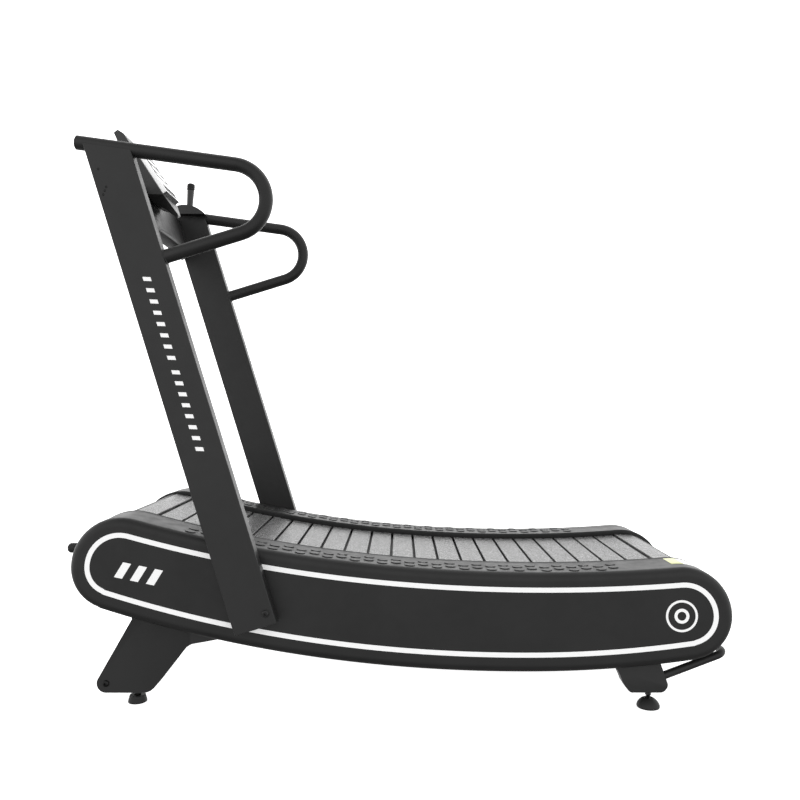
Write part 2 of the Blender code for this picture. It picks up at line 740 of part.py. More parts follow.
def transport_wheel(side, sign):
    """A small wheel beside the front leg, on a shouldered axle bolt."""
    wheel_x, wheel_z = WHEEL_AXLE
    width = 0.020
    inner_face = FRONT_LEG_Y - FRONT_LEG_THICK / 2
    middle_y = inner_face - 0.0015 - width / 2
    bore = bore_radius(0.0060)
    half = width / 2
    profile = [(bore, half), (WHEEL_RADIUS - 0.004, half), (WHEEL_RADIUS, half - 0.004),
               (WHEEL_RADIUS, 0.004 - half), (WHEEL_RADIUS - 0.004, -half), (bore, -half)]
    turned("transport_wheel_" + side, profile, (wheel_x, sign * middle_y, wheel_z), FOOT_RUBBER, axis="Y")
    head_y = FRONT_LEG_Y + FRONT_LEG_THICK / 2 + GAP
    tip_y = middle_y - half - 0.0010
    length = head_y - tip_y
    bolt_profile = [(0, 0.005), (0.0075, 0.005), (0.0092, 0.003), (0.0092, 0), (0.0060, 0),
                    (0.0060, -length), (0.0092, -length), (0.0092, -length - 0.004), (0, -length - 0.004)]
    bolt = turned("wheel_axle_" + side, bolt_profile, (wheel_x, sign * head_y, wheel_z), STEEL, axis="Y")
    if sign < 0:
        bolt.rotation_euler = (math.pi / 2, 0, 0)


for side_name, side_sign in SIDES.items():
    front_leg(side_name, side_sign)
    rear_leg(side_name, side_sign)
    foot("front", side_name, FRONT_FOOT_X, side_sign * FRONT_LEG_Y, 0.0260, FRONT_LEG_BOTTOM)
    foot("rear", side_name, REAR_FOOT_X, side_sign * REAR_LEG_Y, 0.0310, REAR_LEG_BOTTOM)
    transport_wheel(side_name, side_sign)

# ---------------------------------------------------------------- rear lifting handle and front bumpers

HANDLE_RADIUS = 0.0107
HANDLE_START = (0.7418, 0.0863)
HANDLE_END = (0.9085, 0.1494)
HANDLE_CORNER = 0.024


def lifting_handle():
    """A U-shaped tube from one rear leg to the other, rising to the rear."""
    reach = Vector((HANDLE_END[0] - HANDLE_START[0], HANDLE_END[1] - HANDLE_START[1]))
    direction = reach.normalized()
    straight = reach.length - HANDLE_CORNER
    route = []
    for sign in (-1, 1):
        arm = [Vector((HANDLE_START[0], sign * REAR_LEG_Y, HANDLE_START[1]))]
        for step in range(6):
            turn = math.radians(90.0 * step / 5)
            forward = straight + HANDLE_CORNER * math.sin(turn)
            inward = HANDLE_CORNER * (1 - math.cos(turn))
            arm.append(Vector((HANDLE_START[0] + direction.x * forward, sign * (REAR_LEG_Y - inward),
                               HANDLE_START[1] + direction.y * forward)))
        route += arm if sign < 0 else list(reversed(arm))
    return tube("lifting_handle", route, HANDLE_RADIUS, BLACK_PAINT, sides=10)


BUMPER_BASE = (-0.8769, 0.286, 0.4300)
BUMPER_RADIUS = 0.0140
BUMPER_LENGTH = 0.0406


def front_bumper(side, sign):
    """A domed rubber stop on the nose of the cover."""
    base_x, base_y, base_z = BUMPER_BASE
    profile = [(0, BUMPER_LENGTH), (0.0080, BUMPER_LENGTH), (0.0125, BUMPER_LENGTH - 0.0040),
               (BUMPER_RADIUS, BUMPER_LENGTH - 0.0110), (BUMPER_RADIUS, 0), (0, 0)]
    bumper = turned("front_bumper_" + side, profile, (base_x, sign * base_y, base_z), FOOT_RUBBER)
    bumper.rotation_euler = (0, -math.pi / 2, 0)
    return bumper


lifting_handle()
for side_name, side_sign in SIDES.items():
    front_bumper(side_name, side_sign)

# ---------------------------------------------------------------- uprights and handrails

UP = Vector((-math.sin(LEAN), math.cos(LEAN)))
ACROSS = Vector((math.cos(LEAN), math.sin(LEAN)))
FOOT = Vector(UPRIGHT_FOOT)


def rail_height(x):
    """Height of the handrail's upper axis at x."""
    return RAIL_FRONT[1] - (x - RAIL_FRONT[0]) * math.tan(RAIL_DROP)


def handrail_route(y):
    """Front end, round bend, then back down to the upright."""
    bend_x, bend_z, bend_radius = RAIL_BEND
    steps = 14
    first = 90.0 - math.degrees(RAIL_DROP)
    last = -90.0 + math.degrees(RAIL_RISE)
    bend = arc(bend_x, bend_z, bend_radius, first, last, steps)
    tail = Vector(bend[-1])
    rear_face = FOOT + ACROSS * (UPRIGHT_WIDTH / 2 + GAP)
    travel = (tail - rear_face).dot(ACROSS)
    end = tail - ACROSS * travel
    front_x = RAIL_FRONT[0]
    route = [(front_x, rail_height(front_x))] + bend + [(end.x, end.y)]
    return [(x, y, z) for x, z in route]


def upright(side, sign):
    """A rectangular tube, closed below and cut at the top to seat the handrail."""
    middle = FOOT + UP * (UPRIGHT_LENGTH / 2)
    middle_y = sign * UPRIGHT_Y
    post = box("upright_" + side, (UPRIGHT_WIDTH, UPRIGHT_THICK, UPRIGHT_LENGTH),
               (middle.x, middle_y, middle.y), BLACK_PAINT, turn_y=-LEAN)
    round_edges(post, 0.0025, 2)
    bore_middle = FOOT + UP * (UPRIGHT_LENGTH / 2 + UPRIGHT_WALL)
    bore = cutter(box("bore_cutter", (UPRIGHT_WIDTH - 2 * UPRIGHT_WALL, UPRIGHT_THICK - 2 * UPRIGHT_WALL,
                                      UPRIGHT_LENGTH), (bore_middle.x, middle_y, bore_middle.y),
                      None, turn_y=-LEAN, collection=cutters))
    top_middle = FOOT + UP * 1.335
    top_z = rail_height(top_middle.x)
    head_room = 0.300
    lift = head_room / 2 - 0.004
    above_place = (top_middle.x + lift * math.sin(RAIL_DROP), middle_y, top_z + lift * math.cos(RAIL_DROP))
    above = cutter(box("head_cutter", (0.5, 0.1, head_room), above_place, None, turn_y=RAIL_DROP,
                       collection=cutters))
    saddle = cutter(rod("saddle_cutter", RAIL_TUBE_RADIUS + GAP, 0.5, (top_middle.x, middle_y, top_z), None,
                        axis="X", sides=24, collection=cutters))
    saddle.rotation_euler = (0, math.pi / 2 + RAIL_DROP, 0)
    bolt_hole = cutter(rod("bolt_cutter", UPRIGHT_BOLT_RADIUS + GAP, 0.08,
                           (UPRIGHT_BOLT[0], middle_y, UPRIGHT_BOLT[1]), None, collection=cutters))
    cut(post, bore, above, saddle, bolt_hole)
    return shade_round(post)


def handrail_cap(side, sign):
    """A domed plug on the handrail's front end."""
    radius = RAIL_TUBE_RADIUS
    dome_height = 0.0055
    angles = [math.radians(a) for a in range(0, 91, 30)]
    dome = [(radius * math.sin(a), dome_height * math.cos(a)) for a in angles]
    profile = dome + [(radius, -0.0010), (0, -0.0010)]
    backwards = 0.0013
    centre = (RAIL_FRONT[0] - backwards * math.cos(RAIL_DROP), sign * UPRIGHT_Y,
              rail_height(RAIL_FRONT[0]) + backwards * math.sin(RAIL_DROP))
    cap = turned("handrail_cap_" + side, profile, centre, FOOT_RUBBER)
    cap.rotation_euler = (0, -math.pi / 2 + RAIL_DROP, 0)
    return cap


def upright_bolt(side, sign):
    """A dome-head bolt through the upright and cover into the bracket."""
    face = UPRIGHT_INNER + UPRIGHT_THICK + GAP
    length = face - (COVER_FACE - COVER_WALL - GAP - 0.006)
    head = [(0, 0.0060), (0.0055, 0.0055), (0.0100, 0.0020), (0.0100, 0)]
    profile = head + [(UPRIGHT_BOLT_RADIUS, 0), (UPRIGHT_BOLT_RADIUS, -length), (0, -length)]
    bolt = turned("upright_bolt_" + side, profile, (UPRIGHT_BOLT[0], sign * face, UPRIGHT_BOLT[1]),
                  STEEL, axis="Y")
    if sign < 0:
        bolt.rotation_euler = (math.pi / 2, 0, 0)
    return bolt


for side_name, side_sign in SIDES.items():
    upright(side_name, side_sign)
    tube("handrail_" + side_name, handrail_route(side_sign * UPRIGHT_Y), RAIL_TUBE_RADIUS, BLACK_PAINT)
    handrail_cap(side_name, side_sign)
    upright_bolt(side_name, side_sign)

# ---------------------------------------------------------------- cross panel and console

PANEL_LOW = (-0.7557, 1.3745)      # x, z of the panel's lower edge at an upright
PANEL_HEIGHT = 0.1364
PANEL_BOW = 0.022                  # how far its middle stands towards the user
PANEL_THICK = 0.0025
PANEL_LIP = (-0.0283, -0.0195)      # lower edge of the turned-under lip, from the bend


def cross_panel():
    """A bowed sheet with a turned-under lip, between the uprights."""
    half_span = UPRIGHT_INNER
    section = [PANEL_LIP, (0.0, 0.0),
               (-math.sin(LEAN) * PANEL_HEIGHT, math.cos(LEAN) * PANEL_HEIGHT)]
    stations = 12
    sheet = bmesh.new()
    rows = []
    for i in range(stations + 1):
        across = -1 + 2 * i / stations
        bow = PANEL_BOW * (1 - across * across)
        rows.append([sheet.verts.new((PANEL_LOW[0] + dx + bow, across * half_span, PANEL_LOW[1] + dz))
                     for dx, dz in section])
    for left_row, right_row in zip(rows, rows[1:]):
        for k in range(2):
            sheet.faces.new((left_row[k], right_row[k], right_row[k + 1], left_row[k + 1]))
    bmesh.ops.recalc_face_normals(sheet, faces=sheet.faces)
    mesh = bpy.data.meshes.new("cross_panel")
    sheet.to_mesh(mesh)
    sheet.free()
    panel = place("cross_panel", mesh, BLACK_PAINT)
    wall = panel.modifiers.new("wall", "SOLIDIFY")
    wall.thickness = PANEL_THICK
    wall.offset = 0.0
    apply_modifiers(panel)
    outward(panel)
    trim_size = 0.1
    trim = [cutter(box("trim_cutter", (0.4, trim_size, 0.4), (PANEL_LOW[0], y, PANEL_LOW[1] + 0.05),
                       None, collection=cutters))
            for y in (-UPRIGHT_INNER + GAP - trim_size / 2, UPRIGHT_INNER - GAP + trim_size / 2)]
    cut(panel, *trim)
    return shade_round(panel)


CONSOLE_HALF = 0.078
CONSOLE_FOOT_HALF = 0.004      # half width at the housing's lower end
CONSOLE_TOP = (-0.8363, 1.6667)    # upper and lower ends of the console's face
CONSOLE_KNEE = (-0.7132, 1.4775)
CONSOLE_FOOT = (-0.6860, 1.4310)
CONSOLE_LOW = 1.4225           # height of the housing's lower end
DISPLAY_THICK = 0.015
DISPLAY_HALF = 0.0640
FACE_UP = (Vector(CONSOLE_TOP) - Vector(CONSOLE_KNEE)).normalized()
FACE_OUT = Vector((FACE_UP.y, -FACE_UP.x))
FACE_TILT = math.atan2(-FACE_UP.x, FACE_UP.y)


def on_face(distance_up, height_out, y=0.0):
    """A point measured up the console's face from its knee, and out from it."""
    spot = Vector(CONSOLE_KNEE) + FACE_UP * distance_up + FACE_OUT * height_out
    return spot.x, y, spot.y


BUTTON_UP = 0.0260
BUTTON_SPACING = 0.0340
BUTTON_SIZE = (0.0100, 0.0220)
BUTTON_NAMES = {"mode": -1, "reset": 0, "set": 1}
BUTTON_DEPTH = 0.0060


def console_pieces():
    """The housing, the display block on its face, the screen and three push buttons."""
    outline = [(-0.8664, 1.6679), (-0.8541, 1.6774), CONSOLE_TOP, CONSOLE_KNEE, CONSOLE_FOOT,
               (-0.6900, CONSOLE_LOW), (-0.7290, 1.4490), (-0.7543, 1.4585), (-0.7712, 1.5070),
               (-0.7960, 1.5110), (-0.8610, 1.6560)]
    housing = plate("console_housing", [outline], 0.0, 2 * CONSOLE_HALF, CONSOLE_PLASTIC)
    flank = Vector((CONSOLE_HALF - CONSOLE_FOOT_HALF, CONSOLE_KNEE[1] - CONSOLE_LOW))
    flank_angle = math.atan2(flank.x, flank.y)
    flanks = []
    for sign in SIDES.values():
        wedge = box("flank_cutter", (0.3, 0.05, 2 * flank.length), (0, 0, 0), None, collection=cutters)
        wedge.location = (CONSOLE_KNEE[0],
                          sign * (CONSOLE_HALF + 0.025 * math.cos(flank_angle) - flank.x),
                          CONSOLE_KNEE[1] - 0.025 * math.sin(flank_angle) - flank.y)
        wedge.rotation_euler = (-sign * flank_angle, 0, 0)
        flanks.append(cutter(wedge))
    cut(housing, *flanks)
    round_edges(housing, 0.0030, 2)
    display_low = 0.004
    display_high = 0.178
    middle = (display_low + display_high) / 2
    display = box("display_block", (DISPLAY_THICK, 2 * DISPLAY_HALF, display_high - display_low),
                  on_face(middle, DISPLAY_THICK / 2 + GAP), CONSOLE_PLASTIC, turn_y=-FACE_TILT)
    round_edges(display, 0.0020, 2)
    screen_size = (0.0020, 0.104, 0.092)
    screen_up = 0.116
    pocket = cutter(box("pocket_cutter", (0.0046, screen_size[1] + 2 * GAP, screen_size[2] + 2 * GAP),
                        on_face(screen_up, DISPLAY_THICK + GAP), None, turn_y=-FACE_TILT, collection=cutters))
    wells = []
    for place_across in BUTTON_NAMES.values():
        well = box("well_cutter", (2 * BUTTON_DEPTH, BUTTON_SIZE[1] + 0.0008, BUTTON_SIZE[0] + 0.0008),
                   on_face(BUTTON_UP, DISPLAY_THICK + GAP, place_across * BUTTON_SPACING), None,
                   turn_y=-FACE_TILT, collection=cutters)
        wells.append(cutter(well))
    cut(display, pocket, *wells)
    box("display_screen", screen_size, on_face(screen_up, DISPLAY_THICK + GAP - 0.0023 + GAP + 0.0010),
        SCREEN, turn_y=-FACE_TILT)
    for button, place_across in BUTTON_NAMES.items():
        cap_height = 0.0050
        key = box("button_" + button, (cap_height, BUTTON_SIZE[1], BUTTON_SIZE[0]),
                  on_face(BUTTON_UP, DISPLAY_THICK + GAP + 0.0015 - cap_height / 2,
                          place_across * BUTTON_SPACING),
                  CONSOLE_PLASTIC, turn_y=-FACE_TILT)
        round_edges(key, 0.0008, 1)


cross_panel()
console_pieces()

# ---------------------------------------------------------------- resistance lever

LEVER_PIN_RADIUS = 0.0050
HUB_RADIUS = 0.0110
HUB_WIDTH = 0.0220
LEVER_ROD_RADIUS = 0.0110
LEVER_TOP = 0.0905            # pivot to the upper end of the rod
KNOB_RADIUS = 0.0140
KNOB_TOP = 0.1025
KNOB_LENGTH = 0.0260


def lever_housing():
    """A housing with a round top and a flat lower side, slotted for the lever."""
    x, z = LEVER_PIVOT
    rise = math.degrees(math.asin((HOUSING_LOW - HOUSING_CENTRE[1]) / HOUSING_RADIUS))
    outline = arc(*HOUSING_CENTRE, HOUSING_RADIUS, 180 - rise, rise, 20)
    outer = plate("lever_housing", [outline], LEVER_Y, HOUSING_THICK, CONSOLE_PLASTIC)
    round_edges(outer, 0.0025, 1, angle=60)
    middle_angle = 90.0 - math.degrees(LEVER_TILT)
    swing = math.degrees(LEVER_SWEEP) + 19.0
    sector = [(x, z - 0.010)] + arc(x, z - 0.010, 0.080, middle_angle - swing, middle_angle + swing, 6)
    slot = cutter(plate("slot_cutter", [sector], LEVER_Y, LEVER_SLOT, None, cutters))
    hub_room = cutter(rod("hub_cutter", HUB_RADIUS + 0.0022, LEVER_SLOT, (x, LEVER_Y, z), None,
                          collection=cutters))
    cut(outer, slot, hub_room)
    return join(outer, rod("lever_pin", LEVER_PIN_RADIUS, LEVER_SLOT + 0.004, (x, LEVER_Y, z), None))


def lever():
    """Hub, rod and knob, standing up through the housing's slot."""
    x, z = LEVER_PIVOT
    hub = rod("resistance_lever", HUB_RADIUS, HUB_WIDTH, (x, LEVER_Y, z), STEEL)
    start = 0.008
    middle = (start + LEVER_TOP) / 2
    centre = (x + middle * math.sin(LEVER_TILT), LEVER_Y, z + middle * math.cos(LEVER_TILT))
    stem = rod("lever_stem", LEVER_ROD_RADIUS, LEVER_TOP - start, centre, STEEL, axis="Z")
    stem.rotation_euler = (0, LEVER_TILT, 0)
    join(hub, stem)
    bore = cutter(rod("pin_cutter", bore_radius(LEVER_PIN_RADIUS), 0.05, (x, LEVER_Y, z), None,
                      collection=cutters))
    cut(hub, bore)
    shade_round(hub)
    socket = LEVER_ROD_RADIUS + GAP
    profile = [(0, KNOB_TOP), (0.0090, KNOB_TOP), (KNOB_RADIUS, KNOB_TOP - 0.0060),
               (KNOB_RADIUS, KNOB_TOP - KNOB_LENGTH + 0.0040), (socket + 0.0006, KNOB_TOP - KNOB_LENGTH),
               (socket, KNOB_TOP - KNOB_LENGTH), (socket, LEVER_TOP + GAP), (0, LEVER_TOP + GAP)]
    knob = turned("lever_knob", profile, (x, LEVER_Y, z), FOOT_RUBBER)
    knob.rotation_euler = (0, LEVER_TILT, 0)


lever_housing()
lever()
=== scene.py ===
"""Looks of the curved manual treadmill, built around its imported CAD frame.

Frame: +X towards the rear of the machine, +Y to the user's right, +Z up, metres.
"""

import math

import bmesh
import bpy
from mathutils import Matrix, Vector


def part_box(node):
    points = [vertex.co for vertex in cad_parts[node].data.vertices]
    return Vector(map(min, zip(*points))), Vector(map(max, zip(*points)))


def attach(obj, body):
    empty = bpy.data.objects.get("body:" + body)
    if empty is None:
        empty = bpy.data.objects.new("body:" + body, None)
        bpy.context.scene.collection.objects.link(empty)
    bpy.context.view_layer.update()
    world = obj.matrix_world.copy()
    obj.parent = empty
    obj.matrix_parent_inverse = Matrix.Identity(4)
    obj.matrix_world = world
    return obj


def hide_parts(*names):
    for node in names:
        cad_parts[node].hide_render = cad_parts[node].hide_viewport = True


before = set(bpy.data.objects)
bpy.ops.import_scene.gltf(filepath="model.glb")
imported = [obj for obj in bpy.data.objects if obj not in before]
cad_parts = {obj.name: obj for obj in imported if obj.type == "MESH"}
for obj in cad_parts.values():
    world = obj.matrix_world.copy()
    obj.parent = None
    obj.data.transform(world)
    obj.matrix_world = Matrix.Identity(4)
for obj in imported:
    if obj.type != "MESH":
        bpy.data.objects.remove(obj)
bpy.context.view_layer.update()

# ---- driving dimensions, as in the CAD part

LOW_X, TOP_Z, TOP_FRONT, TOP_REAR, TOP_CUBIC = 0.415, 0.378, 0.094, 0.100, 0.018
# Bottom lines: lowest x and z, then the rise forwards, rearwards and per cubic metre.
BELLY_LINE = (0.360, 0.1080, 0.1099, 0.150, 0.0158)
HANG_LINE = (0.360, 0.1020, 0.1123, 0.142, 0.0158)     # the one that the belt's lower run follows
NOSE_TOP = (-0.7430, 0.391, 0.1353)       # arc centre x, z and radius
NOSE_BOTTOM = (-0.7638, 0.391, 0.1145)
TAIL_TOP = (0.7840, 0.259, 0.1330)
TAIL_BOTTOM = (0.7990, 0.259, 0.1180)
TOP_ENDS = (-0.7064, 0.7735)              # where the top line meets the round ends
BELLY_ENDS = (0.8150, -0.7975)
TAIL_TURN, NOSE_TURN = (94.5, -81.7), (74.3, -108.0)   # degrees at which those ends leave the lines

RAIL_INNER, RAIL_OUTER, RAIL_CROWN = 0.234, 0.356, 0.0005
COVER_FACE = 0.376
COVER_WALL = 0.003
COVER_FILLET_Y = 0.356
COVER_FILLET_DEPTH = 0.022
FLOOR_EDGE_Y = 0.345

BELT_HALF, BELT_SINK, SLAT_THICK, BAND_THICK = 0.230, 0.0138, 0.013, 0.006
SLAT_PITCH, SLAT_PHASE = 0.070, 0.0273
SLAT_GAP = 0.0075                         # wider than the CAD slats' plain gap, because the edges are rounded
FRONT_AXLE, REAR_AXLE, BELT_RADIUS = (-0.752, 0.4005), (0.784, 0.2630), 0.116
BELT_TOP_ENDS = (-0.7195, 0.7750)
BELT_BELLY_ENDS = (0.7990, -0.7870)
BELT_REAR_TURN, BELT_FRONT_TURN = (94.4, -82.3), (-107.8, -285.8)
PULLEY_Y, PULLEY_WIDTH = 0.180, 0.030

LEAN = math.radians(17.16)
UPRIGHT_WIDTH, UPRIGHT_THICK, UPRIGHT_INNER, UPRIGHT_Y = 0.1165, 0.040, 0.3763, 0.3963
UPRIGHT_FOOT = Vector((-0.3667, 0.2377))
UPRIGHT_BOLT = (-0.3405, 0.2811)
TUBE_RADIUS = 0.019
RAIL_FRONT = (-0.8440, 1.5311)
RAIL_DROP = math.radians(7.92)
RAIL_BEND = (-0.4367, 1.3796, 0.0945)
RAIL_RISE = math.radians(17.16)
UP = Vector((-math.sin(LEAN), math.cos(LEAN)))
ACROSS = Vector((math.cos(LEAN), math.sin(LEAN)))

SIDES = {"left": -1, "right": 1}

# ---- materials


def colour4(value):
    """Four channels from a grey value or a colour."""
    return (*value, 1.0) if isinstance(value, tuple) else (value, value, value, 1.0)


def feed(tree, node, **inputs):
    """Set or link a node's inputs, where Base_Color stands for Base Color."""
    for name, value in inputs.items():
        socket = node.inputs[name.replace("_", " ")]
        if isinstance(value, bpy.types.NodeSocket):
            tree.links.new(value, socket)
        else:
            socket.default_value = value


def add_node(tree, kind, output, **inputs):
    """Add a shader node, feed its inputs and return one of its outputs."""
    node = tree.nodes.new("ShaderNode" + kind)
    feed(tree, node, **inputs)
    return node.outputs[output]


def map_range(tree, value, low, high, new_low, new_high):
    """Carry a value from one range over to another."""
    return add_node(tree, "MapRange", "Result", Value=value, From_Min=low, From_Max=high,
                    To_Min=new_low, To_Max=new_high)


class Finish:
    """A Principled material and short ways to add nodes to it."""

    def __init__(self, name, roughness, metallic=0.0, specular=0.5, glow=0.0):
        self.material = bpy.data.materials.new(name)
        self.material.use_nodes = True
        self.tree = self.material.node_tree
        self.use(Roughness=roughness, Metallic=metallic, Specular_IOR_Level=specular)
        # glow makes a surface shine by itself: an evenly bright floor, and painted light on the pale plastic
        # and white print.
        self.use(Emission_Color=(1, 1, 1, 1), Emission_Strength=glow)
        self.place = add_node(self.tree, "TexCoord", "Object")

    def stretched(self, scale):
        """The object's coordinates, scaled by a different number on each axis."""
        return add_node(self.tree, "Mapping", "Vector", Scale=scale, Vector=self.place)

    def noise(self, scale, detail=3.0, vector=None):
        return add_node(self.tree, "TexNoise", "Fac", Scale=scale, Detail=detail, Roughness=0.55,
                        Vector=vector or self.place)

    def cells(self, scale, output="Color"):
        return add_node(self.tree, "TexVoronoi", output, Scale=scale, Vector=self.place)

    def remap(self, value, low, high, new_low, new_high):
        return map_range(self.tree, value, low, high, new_low, new_high)

    def ramp(self, value, *stops):
        """A colour ramp; each stop is a place and a grey value or a colour."""
        band = self.tree.nodes.new("ShaderNodeValToRGB")
        elements = band.color_ramp.elements
        while len(elements) < len(stops):
            elements.new(0.5)
        for element, (place, colour) in zip(elements, stops):
            element.position = place
            element.color = colour4(colour)
        feed(self.tree, band, Fac=value)
        return band.outputs["Color"]

    def mix(self, factor, first, second):
        """Mix two colours; each is a socket, a grey value or a colour."""
        mixer = self.tree.nodes.new("ShaderNodeMix")
        mixer.data_type = "RGBA"
        colour_sockets = [s for s in mixer.inputs if s.type == "RGBA"]
        for socket, value in zip([mixer.inputs["Factor"], *colour_sockets], (factor, first, second)):
            if isinstance(value, bpy.types.NodeSocket):
                self.tree.links.new(value, socket)
            elif socket.type == "RGBA":
                socket.default_value = colour4(value)
            else:
                socket.default_value = value
        return [s for s in mixer.outputs if s.type == "RGBA"][0]

    def painted_edge_highlight(self, colour, edge_light, amount):
        """Lighten outward edges by how pointed they are: a painted highlight along the edges."""
        pointed = add_node(self.tree, "NewGeometry", "Pointiness")
        return self.mix(self.remap(pointed, 0.51, 0.60, 0.0, amount), colour, edge_light)

    def bump(self, height, strength, distance):
        self.use(Normal=add_node(self.tree, "Bump", "Normal", Strength=strength, Distance=distance,
                                 Height=height))

    def use(self, **sockets):
        """Set or link the shader's sockets, and return the material."""
        feed(self.tree, self.tree.nodes["Principled BSDF"], **sockets)
        return self.material


def grained(name, dark, light, roughness, grain, relief, specular=0.5, edge_light=None, glow=0.0):
    """Paint or moulded plastic: cloudy colour, uneven gloss and a fine even grain."""
    finish = Finish(name, roughness, specular=specular, glow=glow)
    cloud = finish.noise(5.0, 4.0)
    colour = finish.ramp(cloud, (0.35, dark), (0.65, light))
    fleck = finish.noise(grain * 0.5, 2.0)
    colour = finish.mix(finish.remap(fleck, 0.45, 0.75, 0.0, 0.35), colour, light)
    # Outward edges lightened towards a paler grey: a painted highlight along them.
    if edge_light:
        colour = finish.painted_edge_highlight(colour, edge_light, 0.5)
    gloss = finish.remap(finish.noise(30.0, 3.0), 0.3, 0.7, roughness - 0.05, roughness + 0.05)
    finish.bump(finish.noise(grain, 2.0), 0.35, relief)
    return finish.use(Base_Color=colour, Roughness=gloss)


GRANULES = 290.0                          # rubber granules per metre


def tread_rubber():
    """Moulded rubber granules, pressed together, with pale and dark grains showing."""
    finish = Finish("tread_rubber", 0.62, specular=0.20)
    base = finish.ramp(finish.noise(9.0, 3.0), (0.3, 0.105), (0.7, 0.135))
    grains = finish.ramp(finish.cells(GRANULES), (0.18, 0.012), (0.45, 0.058), (0.62, 0.110), (0.90, 0.290))
    colour = finish.mix(0.90, base, grains)
    gloss = finish.remap(finish.noise(320.0, 2.0), 0.35, 0.65, 0.20, 0.44)
    finish.bump(finish.cells(GRANULES, "Distance"), 0.50, 0.0006)
    return finish.use(Base_Color=colour, Roughness=gloss)


def machined(name, dark, light, roughness, lines, stretch):
    """Bare metal with fine tool marks along one direction and a cloudy polish."""
    finish = Finish(name, roughness, metallic=1.0)
    marks = finish.noise(lines, 3.0, vector=finish.stretched(stretch))
    colour = finish.ramp(finish.mix(0.5, marks, finish.noise(12.0, 3.0)), (0.35, dark), (0.65, light))
    gloss = finish.remap(marks, 0.3, 0.7, roughness - 0.07, roughness + 0.10)
    finish.bump(marks, 0.25, 0.00006)
    return finish.use(Base_Color=colour, Roughness=gloss)


def printed(name, colour, shade, glow=0.0):
    """A printed or painted mark: a flat ink with a faint mottled lay-down; given a glow, it also shines by
    itself, which is painted light.
    """
    finish = Finish(name, 0.42, glow=glow)
    mottle = finish.ramp(finish.noise(60.0, 3.0), (0.3, shade), (0.6, colour))
    gloss = finish.remap(finish.noise(400.0, 2.0), 0.3, 0.7, 0.36, 0.50)
    finish.bump(finish.noise(900.0, 2.0), 0.10, 0.00003)
    return finish.use(Base_Color=mottle, Roughness=gloss)


def display_glass():
    """A pale reflective liquid-crystal window, with a faint grid under the glass."""
    finish = Finish("display_glass", 0.10, specular=0.6)
    finish.use(Coat_Weight=0.6, Coat_Roughness=0.04)
    weave = finish.cells(900.0, "Distance")
    colour = finish.ramp(weave, (0.1, (0.40, 0.44, 0.41)), (0.5, (0.47, 0.51, 0.47)))
    haze = finish.remap(finish.noise(15.0, 2.0), 0.3, 0.7, 0.07, 0.16)
    return finish.use(Base_Color=colour, Roughness=haze)


# The edge grey given last to powder coat, cover and console lightens their outward edges: a painted
# highlight.
PAINT = grained("powder_coat", 0.0090, 0.0125, 0.42, 900.0, 0.00010, specular=0.30, edge_light=0.04)
COVER = grained("cover_plastic", 0.0100, 0.0140, 0.48, 700.0, 0.00012, specular=0.36, edge_light=0.03)
BLACK_RUBBER = grained("black_rubber", 0.0100, 0.0160, 0.62, 500.0, 0.00020, specular=0.35)
CONSOLE = grained("console_plastic", 0.0120, 0.0170, 0.40, 1000.0, 0.00010, specular=0.45, edge_light=0.05)
BUTTON = grained("button_plastic", 0.050, 0.075, 0.38, 900.0, 0.00008)
# The display's pale plastic also shines by itself (glow): painted light, as the display is no lamp.
PALE_PLASTIC_PAINTED_GLOW = grained("pale_plastic_painted_glow", 0.90, 0.95, 0.24, 900.0, 0.00004, glow=0.30)
GLIDE = grained("glide_plastic", 0.60, 0.72, 0.45, 600.0, 0.00010)
ROD_PAINT = grained("rod_paint", 0.016, 0.024, 0.35, 900.0, 0.00006)
TREAD = tread_rubber()
STEEL = machined("turned_steel", 0.30, 0.48, 0.32, 300.0, (1.0, 12.0, 1.0))
DARK_STEEL = machined("blackened_steel", 0.018, 0.045, 0.38, 300.0, (1.0, 1.0, 6.0))
ALUMINIUM = machined("machined_aluminium", 0.60, 0.76, 0.30, 350.0, (1.0, 9.0, 1.0))
# White print that also shines by itself (glow): painted light on the stripes, marks, label and dashes.
WHITE_PRINT_PAINTED_GLOW = printed("white_print_painted_glow", 0.95, 0.91, 0.14)
YELLOW_PRINT = printed("yellow_print", (0.78, 0.80, 0.45), (0.72, 0.74, 0.38))
DARK_PRINT = printed("dark_print", 0.022, 0.016)
GLASS = display_glass()

# ---- mesh helpers


def place_object(name, data):
    """A new object in the scene."""
    item = bpy.data.objects.new(name, data)
    bpy.context.scene.collection.objects.link(item)
    return item


def add_piece(name, mesh_data, material, body="frame", replaces=(), angle=32.0):
    """Turn a bmesh in the machine's frame into a named, smooth-shaded piece that rides on a body."""
    bmesh.ops.recalc_face_normals(mesh_data, faces=mesh_data.faces)
    mesh = bpy.data.meshes.new(name)
    mesh_data.to_mesh(mesh)
    mesh_data.free()
    piece = place_object(name, mesh)
    mesh.materials.append(material)
    mesh.shade_smooth()
    mesh.set_sharp_from_angle(angle=math.radians(angle))
    normals = piece.modifiers.new("even_shading", "WEIGHTED_NORMAL")
    normals.keep_sharp = True
    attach(piece, body)
    if replaces:
        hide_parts(*replaces)
    return piece


def grid(mesh_data, rows, closed=False, keep=None):
    """Faces between rows of points; keep(i, j) may leave some out. Returns the rows of vertices."""
    lines = [[mesh_data.verts.new(point) for point in row] for row in rows]
    count = len(rows[0])
    for i, (first, second) in enumerate(zip(lines, lines[1:])):
        for j in range(count if closed else count - 1):
            if keep is None or keep(i, j):
                k = (j + 1) % count
                mesh_data.faces.new((first[j], first[k], second[k], second[j]))
    return lines


def loft(mesh_data, rows):
    """A closed solid through rings of points, flat at both ends."""
    lines = grid(mesh_data, rows, closed=True)
    mesh_data.faces.new(lines[0])
    mesh_data.faces.new(lines[-1])


